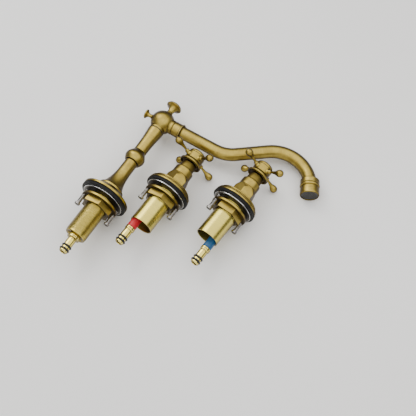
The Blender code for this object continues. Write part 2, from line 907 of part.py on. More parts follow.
def lying(name, flange_at, rim_radius, pitch, yaw):
    """An empty that lays a unit down, at the height where the rim of its gasket rests on the surface."""
    tilt = math.radians(pitch)
    low_edge = -seat - gasket_thickness if pitch > 0 else flange_rim
    height = rim_radius * math.cos(tilt) - low_edge * math.sin(tilt)
    x, y = flange_at
    at = (x - kit_middle[0], y - kit_middle[1], height)
    return empty(name, at=at, turn=(pitch - 90, 0, yaw))


clear_scene()
mixer = new_collection("basin_mixer")
cutters = new_collection("cutters")
cutters.hide_render = True

spout_unit = lying("spout_unit", spout_flange_at, flange_radius, spout_pitch, spout_yaw)
spout_base(spout_unit)
spout_head(spout_unit)

hot_unit = lying("hot_unit", hot_flange_at, valve_gasket_radius, hot_pitch, hot_yaw)
valve("hot", hot_unit, jack_angle=13, pipe_angle=195, rest_angle=1)

cold_unit = lying("cold_unit", cold_flange_at, valve_gasket_radius, cold_pitch, cold_yaw)
valve("cold", cold_unit, jack_angle=30, pipe_angle=33, rest_angle=7)
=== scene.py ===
import json
from math import ceil, cos, degrees, dist, pi, radians, sin, tan

import bmesh
import bpy
import numpy as np
from mathutils import Euler, Matrix, Vector

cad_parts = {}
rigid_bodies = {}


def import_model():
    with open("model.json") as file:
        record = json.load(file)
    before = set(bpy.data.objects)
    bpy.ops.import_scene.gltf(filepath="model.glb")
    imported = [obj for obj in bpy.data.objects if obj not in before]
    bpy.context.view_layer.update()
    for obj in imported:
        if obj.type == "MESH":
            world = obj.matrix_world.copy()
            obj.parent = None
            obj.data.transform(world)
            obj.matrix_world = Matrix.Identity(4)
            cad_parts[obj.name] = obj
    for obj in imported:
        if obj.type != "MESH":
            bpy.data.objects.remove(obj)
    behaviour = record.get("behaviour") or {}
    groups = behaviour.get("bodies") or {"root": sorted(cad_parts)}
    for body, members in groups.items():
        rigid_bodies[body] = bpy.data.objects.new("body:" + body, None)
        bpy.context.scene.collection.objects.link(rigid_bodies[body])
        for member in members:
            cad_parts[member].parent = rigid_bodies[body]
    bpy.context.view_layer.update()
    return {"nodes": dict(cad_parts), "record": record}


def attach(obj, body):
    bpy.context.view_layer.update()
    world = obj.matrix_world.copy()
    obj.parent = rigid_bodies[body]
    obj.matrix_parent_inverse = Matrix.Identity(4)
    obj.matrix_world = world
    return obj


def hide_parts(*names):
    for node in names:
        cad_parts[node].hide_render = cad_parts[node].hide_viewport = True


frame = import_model()
bodyOf = {node: body for body, nodes in frame["record"]["behaviour"]["bodies"].items() for node in nodes}
slotOf = {row["node"]: row["material_slot"] for row in frame["record"]["subparts"]}
materials = {}  # by the record's slot names
sceneObjects = bpy.context.scene.collection.objects
print("frame loaded:", len(bodyOf), "nodes")

# Every shape below is drawn in millimetres about its own unit's +Z axis, with height 0 under the escutcheon.
toMetres = Matrix.Scale(0.001, 4)
unitPlaces = {
    "spout": {"place": (-82.2, -41.2, 26.371), "tilt": -2.5, "turn": -0.6},
    "hot": {"place": (-29.3, -2.2, 25.035), "tilt": -1.0, "turn": -3.9},
    "cold": {"place": (38.0, 19.6, 25.064), "tilt": 1.2, "turn": -7.0},
}


def placing(place=(0, 0, 0), turn=(0, 0, 0)):
    return Matrix.Translation(place) @ Euler([radians(angle) for angle in turn]).to_matrix().to_4x4()


def unitFrame(unit):
    spot = unitPlaces[unit]
    return placing(spot["place"], (spot["tilt"] - 90, 0, spot["turn"]))  # stands the unit's axis along +Y


# ---- node helpers, for shaders and geometry alike


def wire(tree, kind, inputs=(), **settings):
    # Adds a node, sets or links its inputs, and gives back its outputs.
    node = tree.nodes.new(kind)
    for key, value in settings.items():
        setattr(node, key, value)
    for key, value in dict(inputs).items():
        if isinstance(value, bpy.types.NodeSocket):
            tree.links.new(value, node.inputs[key])
        else:
            node.inputs[key].default_value = value
    return node.outputs


def calc(tree, operation, *values):
    return wire(tree, "ShaderNodeMath", dict(enumerate(values)), operation=operation)[0]


def times(tree, first, second):
    return calc(tree, "MULTIPLY", first, second)


def vectorOf(tree, x, y, z):
    return wire(tree, "ShaderNodeCombineXYZ", {0: x, 1: y, 2: z})[0]


def ranged(tree, value, fromLow, fromHigh, toLow=0.0, toHigh=1.0, smooth=True):
    inputs = {0: value, 1: fromLow, 2: fromHigh, 3: toLow, 4: toHigh}
    kind = "SMOOTHSTEP" if smooth else "LINEAR"
    return wire(tree, "ShaderNodeMapRange", inputs, interpolation_type=kind)[0]


def blended(tree, share, first, second, blend="MIX"):
    inputs = {0: share, 6: first, 7: second}
    return wire(tree, "ShaderNodeMix", inputs, data_type="RGBA", blend_type=blend)[2]


def noise(tree, place, scale, detail=2.0, rough=0.5):
    inputs = {0: place, "Scale": scale, "Detail": detail, "Roughness": rough}
    return wire(tree, "ShaderNodeTexNoise", inputs)[0]


def newTree(name, kind, inputs, outputs):
    # A socket is given by the name of its type, or by the number that it starts from.
    tree = bpy.data.node_groups.new(name, kind)
    for inOut, sockets in (("INPUT", inputs), ("OUTPUT", outputs)):
        for label, value in sockets.items():
            typeName = value if isinstance(value, str) else type(value).__name__.capitalize()
            socket = tree.interface.new_socket(label, in_out=inOut, socket_type="NodeSocket" + typeName)
            if not isinstance(value, str):
                socket.default_value = value
    return tree, wire(tree, "NodeGroupInput"), tree.nodes.new("NodeGroupOutput").inputs


# ---- shared finish effects


def makeBrushGroup():
    # Fine rings left by turning and brushing: the grain runs slowly round a piece and quickly along it.
    inputs = {"Grain": "Vector", "Lines Per Mm": 5.0, "Drift": 0.12}
    outputs = {"Fine": "Float", "Broad": "Float"}
    tree, given, result = newTree("brushedLines", "ShaderNodeTree", inputs, outputs)
    for label, share, detail in (("Fine", 1.0, 2.0), ("Broad", 0.22, 3.0)):
        scale = vectorOf(tree, given["Drift"], given["Drift"], times(tree, given["Lines Per Mm"], share))
        place = wire(tree, "ShaderNodeMapping", {0: given["Grain"], 3: scale}, vector_type="POINT")[0]
        tree.links.new(noise(tree, place, 1.0, detail, 0.6), result[label])
    return tree


def makePatinaGroup():
    # Old brass: clean metal, brown tarnish in patches and corners, and bright metal rubbed through on edges;
    # the same edge value also brings in painted shade and painted highlights.
    inputs = {
        "Grain": "Vector", "Edge": "Float", "Fine": "Float", "Broad": "Float", "Clean": "Color",
        "Tarnish": "Color", "Corner": "Color", "Rubbed": "Color", "Tarnish Amount": 0.4, "Patch Per Mm": 0.12,
        "Base Roughness": 0.3, "Edge Wear": 0.5,
    }
    tree, given, result = newTree("agedBrass", "ShaderNodeTree", inputs, skinOutputs)
    amount, edge = given["Tarnish Amount"], given["Edge"]
    patches = noise(tree, given["Grain"], given["Patch Per Mm"], 4.0, 0.6)
    specks = noise(tree, given["Grain"], 1.3, 3.0, 0.65)
    tarnish = times(tree, ranged(tree, patches, 0.36, 0.68), amount)
    streaks = times(tree, ranged(tree, given["Broad"], 0.4, 0.75), amount)
    tarnish = calc(tree, "ADD", tarnish, times(tree, streaks, 0.5))
    pits = times(tree, ranged(tree, specks, 0.62, 0.74), amount)
    # The corner colour is patina in hollows and also painted shade; the rubbed colour is edge wear and also a
    # painted highlight.
    corner = ranged(tree, times(tree, edge, -1.0), 0.25, 1.6)
    rubbed = times(tree, ranged(tree, edge, 0.5, 2.2), given["Edge Wear"])
    rubbed = times(tree, rubbed, ranged(tree, specks, 0.25, 0.6, 0.45, 1.0))
    inPits, inCorners = times(tree, pits, 0.6), times(tree, corner, 0.85)
    colour = given["Clean"]
    for share, label in ((tarnish, "Tarnish"), (inPits, "Corner"), (inCorners, "Corner"), (rubbed, "Rubbed")):
        colour = blended(tree, share, colour, given[label])
    shade = ranged(tree, given["Fine"], 0.25, 0.75, 0.93, 1.06, smooth=False)
    grey = wire(tree, "ShaderNodeCombineColor", {0: shade, 1: shade, 2: shade})[0]
    tree.links.new(blended(tree, 1.0, colour, grey, "MULTIPLY"), result["Color"])
    uneven = times(tree, calc(tree, "SUBTRACT", given["Broad"], 0.5), amount)
    rough = given["Base Roughness"]
    for value, share in ((uneven, 0.32), (tarnish, 0.12), (corner, 0.22), (rubbed, -0.07)):
        rough = calc(tree, "MULTIPLY_ADD", value, share, rough)
    tree.links.new(rough, result["Roughness"])
    height = calc(tree, "MULTIPLY_ADD", given["Broad"], 0.6, given["Fine"])
    tree.links.new(calc(tree, "MULTIPLY_ADD", pits, -0.8, height), result["Height"])
    return tree


def makeMouldedGroup():
    # Rubber and plastic: faint mottling, scuffed edges and a fine matt skin.
    inputs = {"Place": "Vector", "Edge": "Float", "Body": "Color", "Scuff": "Color", "Base Roughness": 0.6}
    tree, given, result = newTree("mouldedSkin", "ShaderNodeTree", inputs, skinOutputs)
    mottle = noise(tree, given["Place"], 0.35, 4.0, 0.6)
    skin = noise(tree, given["Place"], 7.0, 2.0, 0.5)
    worn = times(tree, ranged(tree, given["Edge"], 0.6, 2.4), ranged(tree, mottle, 0.35, 0.6))
    share = calc(tree, "MULTIPLY_ADD", ranged(tree, mottle, 0.4, 0.75), 0.18, times(tree, worn, 0.4))
    tree.links.new(blended(tree, share, given["Body"], given["Scuff"]), result["Color"])
    rough = calc(tree, "MULTIPLY_ADD", calc(tree, "SUBTRACT", skin, 0.5), 0.2, given["Base Roughness"])
    tree.links.new(rough, result["Roughness"])
    tree.links.new(skin, result["Height"])
    return tree


skinOutputs = {"Color": "Color", "Roughness": "Float", "Height": "Float"}
brushGroup, patinaGroup, mouldedGroup = makeBrushGroup(), makePatinaGroup(), makeMouldedGroup()

# The last two values of each metal look set the painted shade that darkens surfaces seen edge-on.
metalLooks = {
    "antique_brass": {
        "clean": (0.51, 0.385, 0.084), "tarnish": (0.31, 0.215, 0.048), "corner": (0.040, 0.023, 0.006),
        "rubbed": (0.74, 0.58, 0.20), "tarnishAmount": 0.5, "roughness": 0.36, "edgeWear": 0.65,
        "linesPerMm": 5.0, "patchPerMm": 0.10, "relief": 0.010, "limb": 0.94, "paintedLimbShadeStart": 0.12,
    },
    "shank_brass": {
        "clean": (0.56, 0.435, 0.078), "tarnish": (0.33, 0.23, 0.040), "corner": (0.06, 0.038, 0.012),
        "rubbed": (0.86, 0.72, 0.33), "tarnishAmount": 0.28, "roughness": 0.28, "edgeWear": 0.7,
        "linesPerMm": 4.0, "patchPerMm": 0.15, "relief": 0.003, "limb": 0.8, "paintedLimbShadeStart": 0.22,
    },
    "sleeve_brass": {
        "clean": (0.71, 0.595, 0.135), "tarnish": (0.56, 0.44, 0.095), "corner": (0.10, 0.065, 0.025),
        "rubbed": (0.90, 0.80, 0.42), "tarnishAmount": 0.18, "roughness": 0.27, "edgeWear": 0.6,
        "linesPerMm": 3.0, "patchPerMm": 0.06, "relief": 0.0008, "limb": 0.8, "paintedLimbShadeStart": 0.26,
    },
    "connector_brass": {
        "clean": (0.90, 0.75, 0.19), "tarnish": (0.60, 0.44, 0.08), "corner": (0.10, 0.065, 0.02),
        "rubbed": (0.98, 0.90, 0.55), "tarnishAmount": 0.25, "roughness": 0.15, "edgeWear": 0.7,
        "linesPerMm": 6.0, "patchPerMm": 0.25, "relief": 0.004, "limb": 0.88, "paintedLimbShadeStart": 0.2,
    },
    "inner_brass": {
        "clean": (0.66, 0.50, 0.20), "tarnish": (0.45, 0.30, 0.10), "corner": (0.12, 0.07, 0.03),
        "rubbed": (0.85, 0.68, 0.34), "tarnishAmount": 0.3, "roughness": 0.26, "edgeWear": 0.4,
        "linesPerMm": 4.0, "patchPerMm": 0.2, "relief": 0.006, "limb": 0.6, "paintedLimbShadeStart": 0.26,
    },
    # The washer's dark clean colour stands in for shade, and its white rubbed colour is a painted highlight
    # on the rim.
    "washer_steel": {
        "clean": (0.20, 0.19, 0.18), "tarnish": (0.12, 0.11, 0.10), "corner": (0.035, 0.030, 0.025),
        "rubbed": (0.98, 0.98, 0.98), "tarnishAmount": 0.4, "roughness": 0.30, "edgeWear": 1.0,
        "linesPerMm": 3.0, "patchPerMm": 0.12, "relief": 0.004, "limb": 0.0, "paintedLimbShadeStart": 0.26,
    },
    "jack_screw_steel": {
        "clean": (0.42, 0.40, 0.38), "tarnish": (0.22, 0.20, 0.19), "corner": (0.025, 0.02, 0.018),
        "rubbed": (0.85, 0.84, 0.82), "tarnishAmount": 0.4, "roughness": 0.20, "edgeWear": 0.25,
        "linesPerMm": 6.0, "patchPerMm": 0.4, "relief": 0.004, "limb": 0.9, "paintedLimbShadeStart": 0.2,
    },
    "screw_steel": {
        "clean": (0.60, 0.59, 0.57), "tarnish": (0.42, 0.41, 0.39), "corner": (0.10, 0.09, 0.085),
        "rubbed": (0.85, 0.84, 0.83), "tarnishAmount": 0.3, "roughness": 0.28, "edgeWear": 0.5,
        "linesPerMm": 6.0, "patchPerMm": 0.4, "relief": 0.004, "limb": 0.5, "paintedLimbShadeStart": 0.26,
    },
}
mouldedLooks = {
    "gasket_rubber": {
        "body": (0.008, 0.008, 0.008), "scuff": (0.025, 0.025, 0.026), "roughness": 0.55, "relief": 0.02,
        "specular": 0.2,
    },
    "seal_rubber": {
        "body": (0.010, 0.010, 0.011), "scuff": (0.03, 0.03, 0.032), "roughness": 0.36, "relief": 0.006,
    },
    "black_plastic": {
        "body": (0.050, 0.050, 0.047), "scuff": (0.10, 0.10, 0.095), "roughness": 0.42, "relief": 0.01,
        "specular": 0.35,
    },
    "hot_marker_plastic": {
        "body": (0.52, 0.008, 0.016), "scuff": (0.62, 0.08, 0.09), "roughness": 0.36, "relief": 0.01,
    },
    "cold_marker_plastic": {
        "body": (0.008, 0.085, 0.21), "scuff": (0.05, 0.18, 0.36), "roughness": 0.36, "relief": 0.01,
    },
    "valve_ceramic": {
        "body": (0.86, 0.85, 0.81), "scuff": (0.66, 0.64, 0.60), "roughness": 0.22, "relief": 0.003,
    },
}


def newMaterial(name):
    material = bpy.data.materials.new(name)
    material.use_nodes = True
    return material, material.node_tree, material.node_tree.nodes["Principled BSDF"]


def grainAndEdge(tree):
    grain = wire(tree, "ShaderNodeAttribute", attribute_name="grain")["Vector"]
    return grain, wire(tree, "ShaderNodeAttribute", attribute_name="edge")["Fac"]


def surfaced(tree, shader, colour, found, relief):
    inputs = {"Strength": 0.6, "Distance": relief * 0.001, "Height": found["Height"]}
    tree.links.new(colour, shader.inputs["Base Color"])
    tree.links.new(found["Roughness"], shader.inputs["Roughness"])
    tree.links.new(wire(tree, "ShaderNodeBump", inputs)[0], shader.inputs["Normal"])


def makeMetal(slot, look):
    material, tree, shader = newMaterial(slot)
    grain, edge = grainAndEdge(tree)
    inputs = {"Grain": grain, "Lines Per Mm": look["linesPerMm"]}
    lines = wire(tree, "ShaderNodeGroup", inputs, node_tree=brushGroup)
    found = wire(tree, "ShaderNodeGroup", {
        "Grain": grain, "Edge": edge, "Fine": lines["Fine"], "Broad": lines["Broad"],
        **{name.capitalize(): (*look[name], 1) for name in ("clean", "tarnish", "corner", "rubbed")},
        "Tarnish Amount": look["tarnishAmount"], "Patch Per Mm": look["patchPerMm"],
        "Base Roughness": look["roughness"], "Edge Wear": look["edgeWear"],
    }, node_tree=patinaGroup)
    # Painted shade: surfaces seen edge-on are darkened towards the corner colour, standing in for dark
    # reflections along silhouettes.
    facing, start = wire(tree, "ShaderNodeLayerWeight", {"Blend": 0.5})["Facing"], look["paintedLimbShadeStart"]
    paintedGrazingShade = ranged(tree, facing, start, start + 0.48, 0.0, look["limb"])
    colour = blended(tree, paintedGrazingShade, found["Color"], (*look["corner"], 1))
    shader.inputs["Metallic"].default_value = 1.0
    surfaced(tree, shader, colour, found, look["relief"])
    return material


def makeMoulded(slot, look):
    material, tree, shader = newMaterial(slot)
    place, edge = grainAndEdge(tree)
    found = wire(tree, "ShaderNodeGroup", {
        "Place": place, "Edge": edge, "Body": (*look["body"], 1), "Scuff": (*look["scuff"], 1),
        "Base Roughness": look["roughness"],
    }, node_tree=mouldedGroup)
    shader.inputs["Specular IOR Level"].default_value = look.get("specular", 0.4)
    surfaced(tree, shader, found["Color"], found, look["relief"])
    return material


materials.update({slot: makeMetal(slot, look) for slot, look in metalLooks.items()})
materials.update({slot: makeMoulded(slot, look) for slot, look in mouldedLooks.items()})
print("finishes made:", len(materials))

# ---- outlines and shapes: a shape is a dictionary of points, faces and the coordinates its grain follows


def rounded(outline, closed, steps=4):
    # A corner given as (radius, height, rounding) becomes a short curve.
    done = []
    for i, corner in enumerate(outline):
        spot = Vector(corner[:2])
        size = corner[2] if len(corner) > 2 else 0
        if not size or (not closed and i in (0, len(outline) - 1)):
            done.append(spot)
            continue
        back = Vector(outline[i - 1][:2]) - spot
        ahead = Vector(outline[(i + 1) % len(outline)][:2]) - spot
        reach = size / tan(back.angle(ahead) / 2)
        reach = min(reach, 0.48 * back.length, 0.48 * ahead.length)
        first, last = spot + back.normalized() * reach, spot + ahead.normalized() * reach
        for k in range(steps + 1):
            share = k / steps
            done.append(first.lerp(spot, share).lerp(spot.lerp(last, share), share))
    return done


def divided(points, longest, closed, narrow=0.35):
    # Splits long sides, with a short part at each end that keeps worn edges narrow.
    done = []
    for i in range(len(points) if closed else len(points) - 1):
        first, last = points[i], points[(i + 1) % len(points)]
        size = (last - first).length
        inset = narrow / size if size > 3 * narrow else 0
        parts = max(1, ceil(size * (1 - 2 * inset) / longest))
        shares = [inset + (1 - 2 * inset) * k / parts for k in range(parts)]
        done += [first.lerp(last, share) for share in ([0.0, *shares, 1 - inset] if inset else shares)]
    return done if closed else done + [points[-1]]


def flowing(points, parts=6):
    # A smooth line through the points, for curves with no corner in them.
    ends = [points[0], *points, points[-1]]
    done = []
    for i in range(1, len(ends) - 2):
        p0, p1, p2, p3 = (np.array(p, float) for p in ends[i - 1 : i + 3])
        for k in range(parts):
            t = k / parts
            twice = 2 * p1 + (p2 - p0) * t + (2 * p0 - 5 * p1 + 4 * p2 - p3) * t**2
            twice += (3 * p1 - p0 - 3 * p2 + p3) * t**3
            done.append(tuple(twice / 2))
    return done + [tuple(points[-1])]


def arcLine(radius, start, end, count, middle=(0, 0)):
    angles = [radians(start + (end - start) * i / (count - 1)) for i in range(count)]
    return [(middle[0] + radius * cos(a), middle[1] + radius * sin(a)) for a in angles]


def fromEdge(radius, height, *steps):
    # Corners given by how far they lie inside a radius and above a height, with any rounding after that.
    return [(radius - inward, height + up, *rounding) for inward, up, *rounding in steps]


def mirrored(outline, middle):
    below = [(radius, 2 * middle - height, *rounding) for radius, height, *rounding in reversed(outline)]
    return outline + below


def band(outer, inner, low, high, rounding=0.2):
    return [(outer, high, rounding), (outer, low, rounding), (inner, low, rounding), (inner, high, rounding)]


def grainOf(points):
    return np.column_stack([points[:, 0], points[:, 1], points[:, 2] + np.hypot(points[:, 0], points[:, 1])])


def turned(outline, around=96, longest=1.6):
    closed = outline[0][0] > 0 or outline[-1][0] > 0
    line = divided(rounded(outline, closed), longest, closed)
    angles = np.arange(around) * 2 * pi / around
    rings, points, faces = [], [], []
    for spot in line:
        if spot.x < 1e-6:
            rings.append([len(points)] * around)
            points.append((0, 0, spot.y))
        else:
            rings.append(list(range(len(points), len(points) + around)))
            points += [(spot.x * cos(a), spot.x * sin(a), spot.y) for a in angles]
    pairs = list(zip(rings, rings[1:])) + ([(rings[-1], rings[0])] if closed else [])
    for upper, lower in pairs:
        for k in range(around):
            n = (k + 1) % around
            corners = list(dict.fromkeys((upper[k], lower[k], lower[n], upper[n])))
            if len(corners) > 2:
                faces.append(corners)
    points = np.array(points)
    return {"points": points, "faces": faces, "grain": grainOf(points)}


def moved(shape, matrix):
    turn, shift = np.array(matrix.to_3x3()), np.array(matrix.translation)
    return {**shape, "points": shape["points"] @ turn.T + shift}


def together(*shapes):
    faces, start = [], 0
    for shape in shapes:
        faces += [[index + start for index in face] for face in shape["faces"]]
        start += len(shape["points"])
    return {
        "points": np.concatenate([shape["points"] for shape in shapes]),
        "faces": faces,
        "grain": np.concatenate([shape["grain"] for shape in shapes]),
    }


def meshOf(shape, name="draft"):
    mesh = bpy.data.meshes.new(name)
    mesh.from_pydata(shape["points"].tolist(), [], shape["faces"])
    return mesh


def readOut(items, field, width=3, kind=float):
    values = np.empty(len(items) * width, kind)
    items.foreach_get(field, values)
    return values.reshape(-1, width)


def evaluatedShape(obj, grain=None):
    # Bakes an object's modifiers or curve into a plain shape and removes the object.
    sceneObjects.link(obj)
    graph = bpy.context.evaluated_depsgraph_get()
    mesh = bpy.data.meshes.new_from_object(obj.evaluated_get(graph), depsgraph=graph)
    bpy.data.objects.remove(obj)
    points = readOut(mesh.vertices, "co")
    faces = [list(face.vertices) for face in mesh.polygons]
    bpy.data.meshes.remove(mesh)
    grain = grain if grain is not None and len(grain) == len(points) else grainOf(points)
    return {"points": points, "faces": faces, "grain": grain}


def ring(radius, count=96):
    angles = [2 * pi * i / count for i in range(count)]
    return [(radius * cos(a), radius * sin(a)) for a in angles]


def hexagon(flats, rounding=0.8):
    corners = arcLine(flats / 2 / cos(pi / 6), 30, 330, 6)
    return [tuple(spot) for spot in rounded([(*corner, rounding) for corner in corners], True)]


def plate(outlines, low, high, bevel):
    # A flat piece with holes: the first outline is its edge and the rest are cut through it.
    curve = bpy.data.curves.new("plate", "CURVE")
    curve.dimensions, curve.fill_mode = "2D", "BOTH"
    curve.extrude, curve.bevel_depth, curve.bevel_resolution = (high - low) / 2 - bevel, bevel, 2
    curve.offset = -bevel
    for outline in outlines:
        spline = curve.splines.new("POLY")
        spline.points.add(len(outline) - 1)
        for point, spot in zip(spline.points, outline):
            point.co = (spot[0], spot[1], 0, 1)
        spline.use_cyclic_u = True
    obj = bpy.data.objects.new("plate", curve)
    return moved(evaluatedShape(obj), placing((0, 0, (low + high) / 2)))


# ---- geometry trees for what repeats or follows a rule


def geometryTree(name, inputs):
    inputs = {"Geometry": "Geometry", **inputs, "Finish": "Material"}
    return newTree(name, "GeometryNodeTree", inputs, {"Geometry": "Geometry"})


def finishTree(tree, given, result, geometry):
    real = wire(tree, "GeometryNodeRealizeInstances", {0: geometry})[0]
    finished = wire(tree, "GeometryNodeSetMaterial", {0: real, "Material": given["Finish"]})[0]
    tree.links.new(finished, result["Geometry"])
    return tree


def shaftTree(name, inputs):
    # The start of a tree that works on a turned shape, with each point's place, radius and angle.
    tree, given, result = geometryTree(name, inputs)
    place = wire(tree, "GeometryNodeInputPosition")[0]
    x, y, z = wire(tree, "ShaderNodeSeparateXYZ", {0: place})
    radius = calc(tree, "SQRT", calc(tree, "ADD", times(tree, x, x), times(tree, y, y)))
    return tree, given, result, (x, y, z, radius, calc(tree, "ARCTAN2", y, x))


def makeGrooveTree():
    # Cuts a screw thread into a shaft between two heights.
    inputs = {"Turns Per Mm": 1.0, "Depth": 0.5, "Low": "Float", "High": "Float", "Fade": 1.0}
    inputs["Least Radius"] = "Float"
    tree, given, result, (x, y, z, radius, angle) = shaftTree("cutGrooves", inputs)
    turns = calc(tree, "DIVIDE", angle, 2 * pi)
    phase = calc(tree, "MULTIPLY_ADD", z, given["Turns Per Mm"], turns)
    wave = ranged(tree, calc(tree, "PINGPONG", phase, 0.5), 0.04, 0.46, 1.0, 0.0, smooth=False)
    lowFade = calc(tree, "ADD", given["Low"], given["Fade"])
    highFade = calc(tree, "SUBTRACT", given["High"], given["Fade"])
    amount = times(tree, wave, ranged(tree, z, given["Low"], lowFade))
    amount = times(tree, amount, ranged(tree, z, given["High"], highFade))
    amount = times(tree, amount, calc(tree, "GREATER_THAN", radius, given["Least Radius"]))
    inward = calc(tree, "DIVIDE", times(tree, amount, given["Depth"]), times(tree, radius, -1.0))
    offset = vectorOf(tree, times(tree, x, inward), times(tree, y, inward), 0.0)
    cut = wire(tree, "GeometryNodeSetPosition", {0: given["Geometry"], "Offset": offset})
    return finishTree(tree, given, result, cut[0])


def makeHexTree():
    # Presses six flats into a turned shape, so that its round shoulders leave arched tops on the flats.
    inputs = {"Flats": 22.0, "Softness": 0.3}
    tree, given, result, (x, y, z, radius, angle) = shaftTree("pressSixFlats", inputs)
    sixth = pi / 3
    wrapped = calc(tree, "FLOORED_MODULO", calc(tree, "ADD", angle, sixth / 2), sixth)
    fromFlat = calc(tree, "SUBTRACT", wrapped, sixth / 2)
    limit = calc(tree, "DIVIDE", times(tree, given["Flats"], 0.5), calc(tree, "COSINE", fromFlat))
    pressed = calc(tree, "SMOOTH_MIN", radius, limit, given["Softness"])
    share = calc(tree, "DIVIDE", pressed, calc(tree, "MAXIMUM", radius, 0.001))
    place = vectorOf(tree, times(tree, x, share), times(tree, y, share), z)
    flat = wire(tree, "GeometryNodeSetPosition", {0: given["Geometry"], "Position": place})
    return finishTree(tree, given, result, flat[0])


def makeSpokeTree():
    # Copies one arm round the axis.
    tree, given, result = geometryTree("spokesRoundAxis", {"Count": 4, "Start": "Float"})
    spots = wire(tree, "GeometryNodeMeshLine", {"Count": given["Count"], "Offset": (0, 0, 0)})[0]
    step = calc(tree, "DIVIDE", 2 * pi, given["Count"])
    turn = calc(tree, "MULTIPLY_ADD", wire(tree, "GeometryNodeInputIndex")[0], step, given["Start"])
    rotation = wire(tree, "FunctionNodeEulerToRotation", {0: vectorOf(tree, 0.0, 0.0, turn)})[0]
    inputs = {0: spots, "Instance": given["Geometry"], "Rotation": rotation}
    return finishTree(tree, given, result, wire(tree, "GeometryNodeInstanceOnPoints", inputs)[0])


def makeTubeTree():
    # Sweeps a round tube along an edge path, its radius changing evenly from start to end.
    inputs = {"Start Radius": 7.0, "End Radius": 7.5, "Around": 64}
    tree, given, result = geometryTree("tubeAlongPath", inputs)
    path = wire(tree, "GeometryNodeMeshToCurve", {0: given["Geometry"]})[0]
    along = wire(tree, "GeometryNodeSplineParameter")["Factor"]
    scale = ranged(tree, along, 0.0, 1.0, given["Start Radius"], given["End Radius"], smooth=False)
    inputs = {"Resolution": given["Around"], "Radius": 1.0}
    profile = wire(tree, "GeometryNodeCurvePrimitiveCircle", inputs)[0]
    inputs = {0: path, 1: profile, "Scale": scale, "Fill Caps": True}
    return finishTree(tree, given, result, wire(tree, "GeometryNodeCurveToMesh", inputs)[0])


def makeGridTree():
    # Fills a disc with small six-sided pins in staggered rows.
    inputs = {"Disc Radius": 8.0, "Spacing": 1.2, "Pin Radius": 0.4, "Pin Height": 0.5}
    tree, given, result = geometryTree("pinsOverDisc", inputs)
    count, rowGap = 21, 0.866  # pins in a row, and the gap between rows for each unit of spacing
    size = times(tree, given["Spacing"], count - 1.0)
    grid = wire(tree, "GeometryNodeMeshGrid", {0: size, 1: times(tree, size, rowGap), 2: count, 3: count})[0]
    row = calc(tree, "FLOORED_MODULO", wire(tree, "GeometryNodeInputIndex")[0], 2.0)
    stagger = times(tree, times(tree, row, given["Spacing"]), rowGap / 2)
    inputs = {0: grid, "Offset": vectorOf(tree, 0.0, stagger, 0.0)}
    spots = wire(tree, "GeometryNodeSetPosition", inputs)[0]
    place = wire(tree, "GeometryNodeInputPosition")[0]
    reach = wire(tree, "ShaderNodeVectorMath", {0: place}, operation="LENGTH")["Value"]
    outside = calc(tree, "GREATER_THAN", reach, given["Disc Radius"])
    inside = wire(tree, "GeometryNodeDeleteGeometry", {0: spots, "Selection": outside})[0]
    inputs = {0: 6, "Radius": given["Pin Radius"], "Depth": given["Pin Height"]}
    pin = wire(tree, "GeometryNodeMeshCylinder", inputs)[0]
    pins = wire(tree, "GeometryNodeInstanceOnPoints", {0: inside, "Instance": pin})[0]
    return finishTree(tree, given, result, pins)


grooveTree, hexTree, spokeTree = makeGrooveTree(), makeHexTree(), makeSpokeTree()
tubeTree, gridTree = makeTubeTree(), makeGridTree()


def through(tree, shape, node, values, keepGrain=True, path=None):
    # Runs a shape, or a path of points, through a geometry tree, with the tree's inputs given by name.
    if path:
        mesh = bpy.data.meshes.new("path")
        mesh.from_pydata(path, [(i, i + 1) for i in range(len(path) - 1)], [])
    else:
        mesh = meshOf(shape)
    obj = bpy.data.objects.new("draft", mesh)
    modifier = obj.modifiers.new("tree", "NODES")
    modifier.node_group = tree
    values = {**values, "Finish": materials[slotOf[node]]}
    for item in tree.interface.items_tree:
        if item.item_type == "SOCKET" and item.in_out == "INPUT" and item.name in values:
            modifier[item.identifier] = values[item.name]
    return evaluatedShape(obj, shape["grain"] if keepGrain and shape else None)


# ---- finished pieces


def bending(mesh):
    # How sharply the surface bends at each point, per mm: above 0 on outside edges, below 0 in corners.
    count = len(mesh.vertices)
    points, normals = readOut(mesh.vertices, "co"), readOut(mesh.vertices, "normal")
    first, last = readOut(mesh.edges, "vertices", 2, int).T
    gap = points[first] - points[last]
    size = np.maximum((gap**2).sum(1), 1e-4)
    total, near = np.zeros(count), np.zeros(count)
    for here, way in ((first, 1.0), (last, -1.0)):
        np.add.at(total, here, way * (gap * normals[here]).sum(1) / size)
        np.add.at(near, here, 1)
    return np.clip(2 * total / np.maximum(near, 1), -6, 6)


